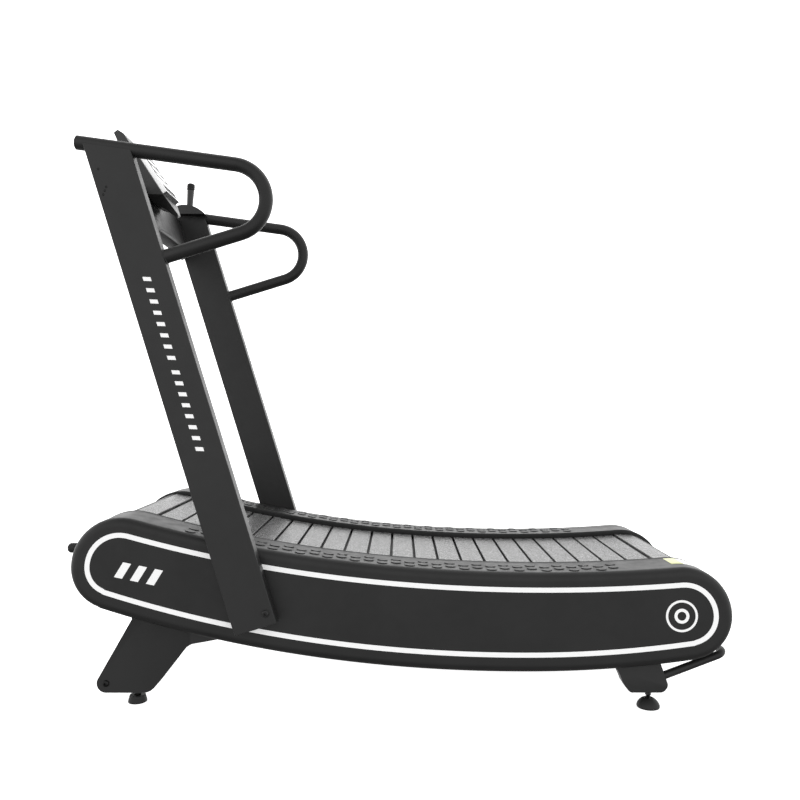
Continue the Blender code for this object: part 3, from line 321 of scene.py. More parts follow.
def weld(mesh_data):
    """Join points that share a place."""
    bmesh.ops.remove_doubles(mesh_data, verts=mesh_data.verts, dist=0.000001)


def spread(first, last, steps):
    """Evenly spaced numbers from first to last."""
    return [first + (last - first) * i / steps for i in range(steps + 1)]


def arc(centre_x, centre_z, radius, start, end, count, rise=None):
    """Points on an arc from start to end, in degrees, both ends included; an ellipse if rise is given."""
    turns = [math.radians(a) for a in spread(start, end, count)]
    return [(centre_x + radius * math.cos(a), centre_z + (rise or radius) * math.sin(a)) for a in turns]


def circle(centre_x, centre_z, radius, sides):
    return arc(centre_x, centre_z, radius, 0, 360 - 360 / sides, sides - 1)


def mirrored(profile):
    """A profile followed by its mirror image in height, closed into a loop."""
    return profile + [(radius, -height) for radius, height in reversed(profile)] + [profile[0]]


def facing(axis, centre):
    """The transform that turns +Z along an axis and moves the origin to a centre."""
    turn = Vector(axis).normalized().to_track_quat("Z", "Y").to_matrix().to_4x4()
    turn.translation = Vector(centre)
    return turn


def lathe(mesh_data, profile, centre, axis, sides):
    """A turned solid: profile of (radius, height) from axis to axis, along a direction."""
    turn = facing(axis, centre)
    rows = []
    for radius, height in profile:
        ring = circle(0, 0, radius, sides) if radius > 1e-7 else [(0, 0)]
        rows.append([mesh_data.verts.new(turn @ Vector((x, y, height))) for x, y in ring])
    for first, second in zip(rows, rows[1:]):
        for k in range(sides):
            j = (k + 1) % sides
            corners = [first[k % len(first)], first[j % len(first)], second[j % len(second)],
                       second[k % len(second)]]
            face = list(dict.fromkeys(corners))
            if len(face) > 2:
                mesh_data.faces.new(face)


def turned_piece(name, profile, centre, axis, sides, material, body="frame", replaces=()):
    """A piece that is one turned solid."""
    mesh_data = bmesh.new()
    lathe(mesh_data, profile, centre, axis, sides)
    weld(mesh_data)
    add_piece(name, mesh_data, material, body, replaces)


def sweep(mesh_data, route, radius, sides, capped=True):
    """A round tube along a route, its section carried along without twist."""
    points = [Vector(p) for p in route]
    side = None
    rings = []
    for i, point in enumerate(points):
        ahead = (points[min(i + 1, len(points) - 1)] - points[max(i - 1, 0)]).normalized()
        if side is None:
            side = ahead.orthogonal().normalized()
        side = (side - ahead * side.dot(ahead)).normalized()
        other = ahead.cross(side)
        rings.append([point + side * u + other * v for u, v in circle(0, 0, radius, sides)])
    if capped:
        loft(mesh_data, rings)
    else:
        grid(mesh_data, rings, closed=True)


def prism(mesh_data, outline, low_y, high_y, edge, steps=2):
    """A plate of even thickness from an x, z outline, with rounded rims."""
    flat = bmesh.new()
    rows = [[flat.verts.new((x, y, z)) for x, z in outline] for y in (low_y, high_y)]
    count = len(outline)
    for j in range(count):
        k = (j + 1) % count
        flat.faces.new((rows[0][j], rows[0][k], rows[1][k], rows[1][j]))
    rims = []
    for row in rows:
        flat.faces.new(row)
        rims += [flat.edges.get((row[j], row[(j + 1) % count])) for j in range(count)]
    if edge:
        bmesh.ops.bevel(flat, geom=rims, offset=edge, segments=steps, profile=0.5, affect="EDGES")
    merge(mesh_data, flat)


def merge(mesh_data, other):
    """Copy another bmesh into this one and free it."""
    copy = bpy.data.meshes.new("copy")
    other.to_mesh(copy)
    other.free()
    mesh_data.from_mesh(copy)
    bpy.data.meshes.remove(copy)


def thicken(piece, thickness, offset=0.0):
    """Give a sheet its thickness, before its shading is evened."""
    wall = piece.modifiers.new("wall", "SOLIDIFY")
    wall.thickness = thickness
    wall.offset = offset
    piece.modifiers.move(1, 0)


def refined(name, node, width, angle=32.0):
    """A copy of a CAD node with its facets joined up and its sharp edges rounded."""
    copy = bmesh.new()
    copy.from_mesh(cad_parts[node].data)
    bmesh.ops.remove_doubles(copy, verts=copy.verts, dist=0.00002)
    bmesh.ops.dissolve_limit(copy, angle_limit=math.radians(1.0), verts=copy.verts, edges=copy.edges)
    piece = add_piece(name, copy, CONSOLE, replaces=(node,), angle=angle)
    round_off = piece.modifiers.new("rounded_edges", "BEVEL")
    round_off.width = width
    round_off.segments = 2
    round_off.limit_method = "ANGLE"
    round_off.angle_limit = math.radians(angle)
    round_off.harden_normals = False
    piece.modifiers.move(1, 0)


def screw_head(mesh_data, centre, axis, size, sides, socket=0.5):
    """A domed screw head, its size a radius and a height, with a six-sided socket."""
    turn = facing(axis, centre)
    radius, height = size

    def ring(share, rise, six_sided=False):
        points = []
        for k in range(sides):
            angle = 2 * math.pi * k / sides
            reach = radius * share
            if six_sided:
                reach *= math.cos(math.pi / 6) / math.cos(angle % (math.pi / 3) - math.pi / 6)
            points.append(turn @ Vector((reach * math.cos(angle), reach * math.sin(angle), height * rise)))
        return points

    loft(mesh_data, [ring(1.0, 0.0), ring(1.0, 0.35), ring(0.86, 0.80), ring(0.66, 1.0),
                     ring(socket, 1.0, True), ring(socket, 0.25, True)])


# ---- side outline


def sag(x, low_x, front, rear, cubic):
    """Height and slope of a sagging line above its lowest point."""
    u = x - low_x
    square = front if u < 0 else rear
    return square * u * u + cubic * abs(u) ** 3, 2 * square * u + 3 * cubic * u * abs(u)


def top_frame(x, inset):
    """Point on the top line moved inwards by inset, and its outward normal."""
    height, slope = sag(x, LOW_X, TOP_FRONT, TOP_REAR, TOP_CUBIC)
    length = math.hypot(1, slope)
    return (x + inset * slope / length, TOP_Z + height - inset / length), (-slope / length, 1 / length)


def top_point(x, inset):
    return top_frame(x, inset)[0]


def belly_point(x, inset, line=BELLY_LINE):
    """Point on a bottom line at x, moved inwards by inset along its normal."""
    low_x, low_z, front, rear, cubic = line
    height, slope = sag(x, low_x, front, rear, cubic)
    length = math.hypot(1, slope)
    return x - inset * slope / length, low_z + height + inset / length


TOP_STEPS, ARC_STEPS, BELLY_STEPS = 110, 18, 70
BELLY_FIRST = TOP_STEPS + 1 + ARC_STEPS + ARC_STEPS - 1
BELLY_LAST = BELLY_FIRST + BELLY_STEPS


def end_arc(arc_data, inset, start, end):
    centre_x, centre_z, radius = arc_data
    return arc(centre_x, centre_z, radius - inset, start, end, ARC_STEPS)


def side_outline(inset):
    """The closed side outline, moved inwards: top line, tail, bottom line, nose."""
    top = [top_point(x, inset) for x in spread(*TOP_ENDS, TOP_STEPS)]
    tail_upper = end_arc(TAIL_TOP, inset, TAIL_TURN[0], 0)[1:]
    tail_lower = end_arc(TAIL_BOTTOM, inset, 0, TAIL_TURN[1])[1:-1]
    belly = [belly_point(x, inset) for x in spread(*BELLY_ENDS, BELLY_STEPS)]
    nose_lower = end_arc(NOSE_BOTTOM, inset, NOSE_TURN[1], -180)[1:]
    nose_upper = end_arc(NOSE_TOP, inset, 180, NOSE_TURN[0])[1:-1]
    return top + tail_upper + tail_lower + belly + nose_lower + nose_upper


def crown(y):
    """How far the foot rail stands above the outline at y."""
    return RAIL_CROWN * (RAIL_OUTER - y) / (RAIL_OUTER - RAIL_INNER)


# ---- side covers, stripes and marks

FLANGE_DEPTH = 0.021
STRIPE_INSET = 0.0505
STRIPE_HALF = 0.0066
STRIPE_RISE_TOP, STRIPE_RISE_LOW = 0.0055, -0.0005
PRINT_LIFT = 0.0005
LABEL_LIFT, LABEL_Y = 0.0003, (0.247, 0.320)
# The white half is partly a label and partly the sheen of the rail's curved end: a painted highlight.
LABEL_HALVES = ("yellow", 0.7660, 0.7998, YELLOW_PRINT), ("white", 0.8000, 0.8460, WHITE_PRINT_PAINTED_GLOW)


def cover_rings():
    """Section of a cover: y and inset, from the flange by the belt to the flat face."""
    lip = [(RAIL_INNER, FLANGE_DEPTH), (RAIL_INNER, 0.0030), (RAIL_INNER + 0.0006, -0.0002),
           (RAIL_INNER + 0.0022, -0.0020)]
    top = [(y, -crown(y)) for y in (0.2400, 0.2650, 0.2900, 0.3150, FLOOR_EDGE_Y, COVER_FILLET_Y)]
    reach = COVER_FACE - COVER_FILLET_Y
    fillet = arc(COVER_FILLET_Y, COVER_FILLET_DEPTH, reach, -90, 0, 10, COVER_FILLET_DEPTH)[1:]
    face = [(COVER_FACE, COVER_FILLET_DEPTH + 0.002), (COVER_FACE, COVER_FILLET_DEPTH + 0.006)]
    return lip + top + fillet + face


def side_cover(side, sign):
    """A moulded shell: foot rail, rounded shoulder and flat face, open below for the legs."""
    rings = cover_rings()
    shell = bmesh.new()

    def solid_floor(i, j):
        return not (BELLY_FIRST <= j < BELLY_LAST and rings[i + 1][0] < FLOOR_EDGE_Y)

    rows = [[(x, sign * y, z) for x, z in side_outline(inset)] for y, inset in rings]
    lines = grid(shell, rows, closed=True, keep=solid_floor)
    shell.faces.new(lines[-1])
    bmesh.ops.delete(shell, geom=[v for v in shell.verts if not v.link_faces], context="VERTS")
    cover = add_piece("cover_shell_" + side, shell, COVER, replaces=("side_cover_" + side,))
    outward = max(cover.data.polygons, key=lambda face: face.area).normal.y * sign > 0
    thicken(cover, COVER_WALL, -1.0 if outward else 1.0)


def band(mesh_data, outer, inner, low_y, high_y):
    """A closed flat band between two matching loops of x, z points."""
    rows = [[(x, y, z) for x, z in loop]
            for y, loop in ((low_y, outer), (high_y, outer), (high_y, inner), (low_y, inner), (low_y, outer))]
    grid(mesh_data, rows, closed=True)
    weld(mesh_data)


def stripe_rises():
    """How far the stripe is raised at each point of the outline: less along the bottom."""
    fall = spread(1.0, 0.5, ARC_STEPS)
    rest = spread(0.5, 0.0, ARC_STEPS)
    share = [1.0] * (TOP_STEPS + 1) + fall[1:] + rest[1:-1] + [0.0] * (BELLY_STEPS + 1)
    share += rest[::-1][1:] + fall[::-1][1:-1]
    return [STRIPE_RISE_LOW + (STRIPE_RISE_TOP - STRIPE_RISE_LOW) * part for part in share]


def print_faces(face, sign):
    """Inner and outer y of a print on a flat face."""
    return sign * (face - PRINT_LIFT), sign * (face + PRINT_LIFT)


def stripe(side, sign):
    """The white line that runs round the cover's flat face."""
    rises = stripe_rises()
    loops = [[(x, z + rise) for (x, z), rise in zip(side_outline(STRIPE_INSET + offset), rises)]
             for offset in (-STRIPE_HALF, STRIPE_HALF)]
    line = bmesh.new()
    band(line, *loops, *print_faces(COVER_FACE, sign))
    add_piece("cover_stripe_" + side, line, WHITE_PRINT_PAINTED_GLOW)


def slanted_bar(mesh_data, centre, along, size, faces):
    """A flat parallelogram of a width, height and slant; along is its width's direction in x, z."""
    width, height, slant = size
    side = Vector(along).normalized()
    rise = Vector((-side.y, side.x))
    corners = []
    for across, upward in ((-1, -1), (1, -1), (1, 1), (-1, 1)):
        shift = side * (across * width / 2 + upward * slant / 2)
        spot = Vector(centre) + shift + rise * (upward * height / 2)
        corners.append((spot.x, spot.y))
    prism(mesh_data, corners, *faces, edge=0)


FRONT_MARK, FRONT_MARK_SLOPE = Vector((-0.689, 0.377)), Vector((1.0, -0.21))
FRONT_BAR, FRONT_BAR_PITCH = (0.022, 0.044, 0.016), 0.043
REAR_MARK = (0.774, 0.263)
REAR_MARK_RINGS = ((0.0430, 0.0370), (0.0200, 0.0120))


def front_mark(side, sign):
    """A plain mark of three slanted bars near the nose."""
    mark = bmesh.new()
    for k in (-1, 0, 1):
        spot = FRONT_MARK + FRONT_MARK_SLOPE * (FRONT_BAR_PITCH * k)
        slanted_bar(mark, spot, FRONT_MARK_SLOPE, FRONT_BAR, print_faces(COVER_FACE, sign))
    add_piece("front_mark_" + side, mark, WHITE_PRINT_PAINTED_GLOW)


def rear_mark(side, sign):
    """A plain ring around a smaller ring near the tail."""
    mark = bmesh.new()
    for outer, inner in REAR_MARK_RINGS:
        band(mark, circle(*REAR_MARK, outer, 60), circle(*REAR_MARK, inner, 60),
             *print_faces(COVER_FACE, sign))
    add_piece("rear_mark_" + side, mark, WHITE_PRINT_PAINTED_GLOW)


def rail_place(x, y, sign, lift):
    """A point on the foot rail or the start of its round tail, lifted along its normal."""
    raised = crown(y) + lift
    spot_x, spot_z = top_point(x, -raised)
    if x >= TOP_ENDS[1]:
        centre_x, centre_z, radius = TAIL_TOP
        angle = math.acos((x - centre_x) / radius)
        spot_x = centre_x + (radius + raised) * math.cos(angle)
        spot_z = centre_z + (radius + raised) * math.sin(angle)
    return Vector((spot_x, sign * y, spot_z))


def rail_label(side, sign):
    """A small blank two-colour label on the rear end of the foot rail; its white half, where the rail curves
    over, is partly print and partly a painted highlight of the rail end's sheen.
    """
    for part, first, last, finish in LABEL_HALVES:
        patch = bmesh.new()
        rows = [[rail_place(x, y, sign, LABEL_LIFT) for x in spread(first, last, 8)]
                for y in spread(*LABEL_Y, 4)]
        grid(patch, rows)
        label = add_piece("rail_label_%s_%s" % (part, side), patch, finish)
        film = label.modifiers.new("film", "SOLIDIFY")
        film.thickness = LABEL_LIFT
        film.offset = 0.0


for side_name, side_sign in SIDES.items():
    side_cover(side_name, side_sign)
    stripe(side_name, side_sign)
    front_mark(side_name, side_sign)
    rear_mark(side_name, side_sign)
rail_label("left", SIDES["left"])

# ---- raised grip pads on the foot rails

PAD_PITCH = 0.0376
PAD_START = 0.0790                        # a column of pads that holds a screw
PAD_COLUMNS = range(-17, 15)
PAD_ROWS = {0: (0.2810, 0.3180), 1: (0.2990, 0.3370)}
PAD_RADIUS = 0.0145
PAD_HEIGHT = 0.0026
SCREW_EVERY = 6
RAIL_SCREW = (0.0060, 0.0032)             # radius and height of a screw's head


def round_pad(mesh_data, x, y, sign):
    """One raised disc with a rounded rim and a slightly dished top."""
    rows = []
    for size, lift in ((1.00, -0.0004), (0.99, 0.0016), (0.93, 0.0024), (0.84, PAD_HEIGHT), (0.55, 0.0022)):
        ring = circle(x, y, PAD_RADIUS * size, 24)
        rows.append([rail_place(spot_x, spot_y, sign, lift) for spot_x, spot_y in ring])
    loft(mesh_data, rows)


def grip_pads(side, sign):
    """Staggered pairs of pads, with a screw in every sixth column."""
    pads = bmesh.new()
    screws = bmesh.new()
    for column in PAD_COLUMNS:
        x = PAD_START + PAD_PITCH * column
        rows = PAD_ROWS[column % 2]
        for y in rows:
            round_pad(pads, x, y, sign)
        if column % SCREW_EVERY == 0:
            y = sum(rows) / 2
            out_x, out_z = top_frame(x, 0)[1]
            screw_head(screws, rail_place(x, y, sign, -0.0003), (out_x, 0, out_z), RAIL_SCREW, 18, 0.45)
    add_piece("grip_pads_" + side, pads, COVER, replaces=("rail_grip_" + side,))
    add_piece("rail_screws_" + side, screws, DARK_STEEL)


for side_name, side_sign in SIDES.items():
    grip_pads(side_name, side_sign)

# ---- slat belt

EDGE_ROUND = 0.0014
SCREW_Y, SLAT_SCREW = 0.2215, (0.0046, 0.0011)
# Where a slat's rounded end lies in y, and how far its section shrinks there.
SLAT_ENDS = [(BELT_HALF, 0.0012), (BELT_HALF - 0.0004, 0.0003), (BELT_HALF - 0.0013, 0.0)]
SLAT_BACK, RIB = -0.0100, 0.0055
MEMBRANE = (0.0132, 0.0146)               # depths of its two faces below the tread


def belt_route(depth):
    """The belt's closed route at a depth below its surface, clockwise from the front."""
    inset = BELT_SINK + depth
    radius = BELT_RADIUS - depth
    top = [top_point(x, inset) for x in spread(*BELT_TOP_ENDS, 80)]
    rear = arc(*REAR_AXLE, radius, *BELT_REAR_TURN, 40)[1:-1]
    belly = [belly_point(x, inset + 0.0003, HANG_LINE) for x in spread(*BELT_BELLY_ENDS, 80)]
    front = arc(*FRONT_AXLE, radius, *BELT_FRONT_TURN, 40)[1:-1]
    return top + rear + belly + front


def along(route, distance):
    """The point at a distance along a closed route."""
    points = [Vector(p) for p in route] + [Vector(route[0])]
    for start, end in zip(points, points[1:]):
        step = (end - start).length
        if distance <= step:
            return start.lerp(end, distance / step)
        distance -= step
    return points[-1]


def slat_section(half):
    """Closed section of a slat: distance along the belt and height, tread on top of a ribbed back."""
    top = [(-half, -0.0050), (-half, -EDGE_ROUND), (-half + 0.0004, -0.0005), (-half + EDGE_ROUND, 0.0)]
    top += [(-x, z) for x, z in reversed(top)]
    back = [(half - 0.0016, -0.0056), (half - 0.0016, SLAT_BACK)]
    back += [(half - RIB, SLAT_BACK), (half - RIB - 0.001, -SLAT_THICK), (half - 2 * RIB, -SLAT_THICK),
             (half - 2 * RIB - 0.001, SLAT_BACK)]
    return top + back + [(-x, z) for x, z in reversed(back)]


def slat_belt():
    """Slats screwed to two carrier bands, with a dark membrane between them."""
    surface = belt_route(0.0)
    points = [Vector(p) for p in surface] + [Vector(surface[0])]
    length = sum((b - a).length for a, b in zip(points, points[1:]))
    count = round(length / SLAT_PITCH)
    pitch = length / count
    slats = bmesh.new()
    screws = bmesh.new()
    for k in range(count):
        first = along(surface, (SLAT_PHASE + k * pitch + SLAT_GAP / 2) % length)
        last = along(surface, (SLAT_PHASE + (k + 1) * pitch - SLAT_GAP / 2) % length)
        middle = along(surface, (SLAT_PHASE + (k + 0.5) * pitch) % length)
        ahead = (last - first).normalized()
        normal = Vector((-ahead.y, ahead.x))
        half = (last - first).length / 2
        section = slat_section(half)
        rows = []
        for y, shrink in [(-y, shrink) for y, shrink in SLAT_ENDS] + SLAT_ENDS[::-1]:
            row = []
            for u, v in section:
                spot = middle + ahead * (u * (1 - shrink / half)) + normal * (v - shrink if v > -0.003 else v)
                row.append((spot.x, y, spot.y))
            rows.append(row)
        loft(slats, rows)
        for y in (-SCREW_Y, SCREW_Y):
            screw_head(screws, (middle.x, y, middle.y), (normal.x, 0, normal.y), SLAT_SCREW, 12)
    add_piece("belt_slats", slats, TREAD, replaces=("slat_belt",), angle=40.0)
    add_piece("slat_screws", screws, DARK_STEEL)
    membrane = bmesh.new()
    band(membrane, *[belt_route(depth) for depth in MEMBRANE], -BELT_HALF + 0.004, BELT_HALF - 0.004)
    for sign in SIDES.values():
        band(membrane, belt_route(MEMBRANE[1]), belt_route(SLAT_THICK + BAND_THICK),
             sign * (PULLEY_Y - PULLEY_WIDTH / 2), sign * (PULLEY_Y + PULLEY_WIDTH / 2))
    add_piece("belt_bands", membrane, BLACK_RUBBER)


slat_belt()

# ---- uprights and handrails

UPRIGHT_CORNER = 0.0030
POST_FOOT_CAP = 0.0020
POST_SEAT = 0.0045                        # the post ends this far below the handrail's axis
UPRIGHT_SCREWS = ((-0.7820, 1.4550), (-0.7610, 1.4076), (-0.7646, 1.3978), (-0.7685, 1.3875))
UPRIGHT_SCREW, UPRIGHT_BOLT_HEAD = (0.0034, 0.0014), (0.0100, 0.0058)
# A dash's width, height and slant, where the two rows start and end, and the dashes in each.
DASH, DASH_ROWS, DASHES = (0.011, 0.020, 0.007), ((0.500, 0.712), (0.752, 0.970)), 8


def rail_height(x):
    """Height of the handrail's upper axis at x."""
    return RAIL_FRONT[1] - (x - RAIL_FRONT[0]) * math.tan(RAIL_DROP)


def rounded_rectangle(width, thick, corner):
    """Points round a rectangle with round corners, centred on the origin."""
    points = []
    for turn, (sx, sy) in enumerate(((1, 1), (-1, 1), (-1, -1), (1, -1))):
        points += arc(sx * (width / 2 - corner), sy * (thick / 2 - corner), corner,
                      90 * turn, 90 * turn + 90, 4)
    return points


def upright_post(side, sign):
    """A rounded rectangular tube, closed below and seated under the handrail."""
    post = bmesh.new()
    rows = []
    for shrink, rise in ((POST_FOOT_CAP, 0.0), (0.0006, 0.0006), (0.0, POST_FOOT_CAP), (0.0, None)):
        section = rounded_rectangle(UPRIGHT_WIDTH - 2 * shrink, UPRIGHT_THICK - 2 * shrink, UPRIGHT_CORNER)
        row = []
        for across, out in section:
            spot = UPRIGHT_FOOT + ACROSS * across
            seat = rail_height(spot.x) - POST_SEAT - spot.y
            full = seat / (UP.y + UP.x * math.tan(RAIL_DROP))
            spot += UP * (full if rise is None else rise)
            row.append((spot.x, sign * UPRIGHT_Y + out, spot.y))
        rows.append(row)
    loft(post, rows)
    add_piece("upright_post_" + side, post, PAINT, replaces=("upright_" + side,))


def upright_details(side, sign):
    """Small screws near the top, a plain dashed decoration, and the bolt by the foot."""
    screws = bmesh.new()
    for x, z in UPRIGHT_SCREWS:
        centre = (x, sign * (UPRIGHT_Y + UPRIGHT_THICK / 2 - 0.0004), z)
        screw_head(screws, centre, (0, sign, 0), UPRIGHT_SCREW, 18)
    add_piece("upright_screws_" + side, screws, DARK_STEEL)
    dashes = bmesh.new()
    face = UPRIGHT_Y + UPRIGHT_THICK / 2
    for first, last in DASH_ROWS:
        for distance in spread(first, last, DASHES - 1):
            slanted_bar(dashes, UPRIGHT_FOOT + UP * distance, UP, DASH, print_faces(face, sign))
    add_piece("upright_dashes_" + side, dashes, WHITE_PRINT_PAINTED_GLOW)
    bolt = bmesh.new()
    screw_head(bolt, (UPRIGHT_BOLT[0], sign * face, UPRIGHT_BOLT[1]), (0, sign, 0), UPRIGHT_BOLT_HEAD, 36)
    add_piece("upright_bolt_head_" + side, bolt, PAINT, replaces=("upright_bolt_" + side,))


def handrail(side, sign):
    """The bent tube, with a weld bead where it meets the upright."""
    y = sign * UPRIGHT_Y
    bend_x, bend_z, bend_radius = RAIL_BEND
    bend = arc(bend_x, bend_z, bend_radius, 90 - math.degrees(RAIL_DROP), -90 + math.degrees(RAIL_RISE), 48)
    tail = Vector(bend[-1])
    rear_face = UPRIGHT_FOOT + ACROSS * (UPRIGHT_WIDTH / 2)
    end = tail - ACROSS * (tail - rear_face).dot(ACROSS)
    route = [RAIL_FRONT] + bend + [tuple(end)]
    tube = bmesh.new()
    sweep(tube, [(x, y, z) for x, z in route], TUBE_RADIUS, 48)
    bead = bmesh.new()
    ring = []
    for upward, out in arc(0, y, TUBE_RADIUS, 0, 360, 48, TUBE_RADIUS * 0.98):
        spot = end + ACROSS * 0.0008 + UP * upward
        ring.append((spot.x, out, spot.y))
    sweep(bead, ring, 0.0022, 10, capped=False)
    merge(tube, bead)
    add_piece("handrail_tube_" + side, tube, PAINT, replaces=("handrail_" + side,))
    profile = [(0, -0.0010), (TUBE_RADIUS, -0.0010), (TUBE_RADIUS, 0.0006), (TUBE_RADIUS - 0.0008, 0.0014)]
    profile += arc(0, 0.0014, TUBE_RADIUS - 0.001, 0, 90, 6, 0.0041)[1:]
    forward = (-math.cos(RAIL_DROP), 0, math.sin(RAIL_DROP))
    centre = (RAIL_FRONT[0] + forward[0] * 0.0013, y, RAIL_FRONT[1] + forward[2] * 0.0013)
    turned_piece("handrail_plug_" + side, profile, centre, forward, 48, BLACK_RUBBER,
                 replaces=("handrail_cap_" + side,))


for side_name, side_sign in SIDES.items():
    upright_post(side_name, side_sign)
    upright_details(side_name, side_sign)
    handrail(side_name, side_sign)

# ---- legs, feet, wheels, handle and stops

FRONT_LEG_Y, FRONT_LEG_THICK, FRONT_LEG_BOTTOM = 0.288, 0.035, 0.030
REAR_LEG_Y, REAR_LEG_THICK, REAR_LEG_BOTTOM = 0.327, 0.034, 0.0445
LEG_EDGE, BOSS_FACE_Y = 0.0018, 0.2703
MAGNET_PIVOT, MAGNET_PIN_RADIUS = (-0.6000, 0.3600), 0.0050
WHEEL_AXLE = (-0.8035, 0.0560)
WHEEL_RADIUS, TYRE_ROUND = 0.027, 0.0045
AXLE_RADIUS, AXLE_SHOULDER, AXLE_HEAD = 0.0060, 0.0092, (0.0092, 0.0048)
# Each end's feet: x, y, the underside of the leg, then the pad's radius and the height of its crown.
FEET = {"front": (-0.7208, FRONT_LEG_Y, FRONT_LEG_BOTTOM, 0.0260, 0.0200),
        "rear": (0.6985, REAR_LEG_Y, REAR_LEG_BOTTOM, 0.0310, 0.0260)}
THREAD_RADIUS, THREAD_ROOT, THREAD_PITCH = 0.0060, 0.0053, 0.0013
NUT_RADIUS, NUT_DROP = 0.0088, 0.0105


def leg_faces(middle_y, thick, sign):
    """Inner and outer y of a leg."""
    return sign * (middle_y - thick / 2), sign * (middle_y + thick / 2)


def front_leg(side, sign):
    """A raked side plate, rounded by the transport wheel; the right one has the caliper's pin."""
    corner = WHEEL_AXLE[1] - FRONT_LEG_BOTTOM
    outline = [(-0.6550, 0.4400), (-0.5600, 0.4150), (-0.4700, 0.2300), (-0.4830, 0.1799)]
    outline += [(-0.5277, 0.1720), (-0.5640, 0.1658), (-0.5740, 0.1625), (-0.5830, 0.1560)]
    outline += [(-0.6560, 0.0588), (-0.6640, 0.0495), (-0.6720, 0.0410), (-0.6800, 0.0345), (-0.6900, 0.0306)]
    outline += [(-0.7000, FRONT_LEG_BOTTOM)]
    outline += arc(*WHEEL_AXLE, corner, -90, -205, 24)
    outline += [(-0.7300, 0.2340), (-0.7300, 0.4200)]
    leg = bmesh.new()
    prism(leg, outline, *leg_faces(FRONT_LEG_Y, FRONT_LEG_THICK, sign), LEG_EDGE, 3)
    if side == "right":
        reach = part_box("front_leg_right")[1].y - FRONT_LEG_Y
        lathe(leg, [(0, 0), (MAGNET_PIN_RADIUS, 0), (MAGNET_PIN_RADIUS, reach), (0, reach)],
              (MAGNET_PIVOT[0], FRONT_LEG_Y, MAGNET_PIVOT[1]), (0, 1, 0), 24)
    add_piece("front_leg_plate_" + side, leg, PAINT, replaces=("front_leg_" + side,))


def rear_leg(side, sign):
    """A short side plate with a boss that reaches in to the frame beam."""
    outline = [(0.6100, 0.3000), (0.7220, 0.3000), (0.7260, 0.1240), (0.7424, 0.0830)]
    outline += [(0.7470, 0.0710), (0.7482, 0.0640), (0.7460, 0.0570), (0.7410, 0.0505), (0.7360, 0.0465)]
    outline += [(0.7300, REAR_LEG_BOTTOM), (0.6490, REAR_LEG_BOTTOM), (0.6440, 0.0465), (0.6390, 0.0510)]
    outline += [(0.6340, 0.0575), (0.6235, 0.0745), (0.6175, 0.0910), (0.6120, 0.1070), (0.6000, 0.1180)]
    leg = bmesh.new()
    inner, outer = leg_faces(REAR_LEG_Y, REAR_LEG_THICK, sign)
    prism(leg, outline, inner, outer, LEG_EDGE, 3)
    boss = [(0.620, 0.230), (0.710, 0.230), (0.710, 0.290), (0.620, 0.290)]
    prism(leg, boss, sign * BOSS_FACE_Y, inner + sign * 0.001, 0.001)
    add_piece("rear_leg_plate_" + side, leg, PAINT, replaces=("rear_leg_" + side,))


def foot_pad(end, radius, crown):
    """Profile of a domed rubber pad; the rear ones slope more evenly."""
    if end == "front":
        flank = [(radius, 0.0030), (radius * 0.86, crown - 0.0030), (radius * 0.84, crown - 0.0012),
                 (radius * 0.80, crown), (radius * 0.55, crown - 0.0002)]
    else:
        flank = [(radius, crown * 0.24), (radius - 0.0010, crown * 0.34), (radius * 0.90, crown * 0.50),
                 (radius * 0.80, crown * 0.66), (radius * 0.62, crown * 0.86), (radius * 0.45, crown * 0.97)]
    base = [(0, 0), (radius - 0.0020, 0), (radius - 0.0005, 0.0006), (radius, 0.0022)]
    socket = [(0.0125, crown), (0.0096, crown - 0.0006), (0.0092, crown - 0.0075), (0, crown - 0.0080)]
    return base + flank + socket


def levelling_foot(end, side, sign):
    """A threaded stud with a six-sided jam nut, standing in a rubber pad."""
    name = "%s_%s" % (end, side)
    x, y, leg_bottom, radius, crown = FEET[end]
    y *= sign
    turned_piece("foot_dome_" + name, foot_pad(end, radius, crown), (x, y, 0), (0, 0, 1), 48,
                 BLACK_RUBBER, "foot_" + name, ("foot_pad_" + name,))
    stud = bmesh.new()
    thread = []
    z = crown - 0.0070
    while z < leg_bottom + 0.060:
        thread += [(THREAD_RADIUS, z), (THREAD_ROOT, z + THREAD_PITCH / 2)]
        z += THREAD_PITCH
    lathe(stud, [(0, crown - 0.0072)] + thread + [(0, z)], (x, y, 0), (0, 0, 1), 24)
    rows = []
    for share, rise in ((0.90, 0.0), (1.0, 0.0012), (1.0, 0.0084), (0.90, 0.0095)):
        hexagon = circle(x, y, NUT_RADIUS * share, 6)
        rows.append([(corner_x, corner_y, leg_bottom - NUT_DROP + rise) for corner_x, corner_y in hexagon])
    loft(stud, rows)
    add_piece("foot_screw_" + name, stud, DARK_STEEL, "foot_" + name, ("foot_stud_" + name,))


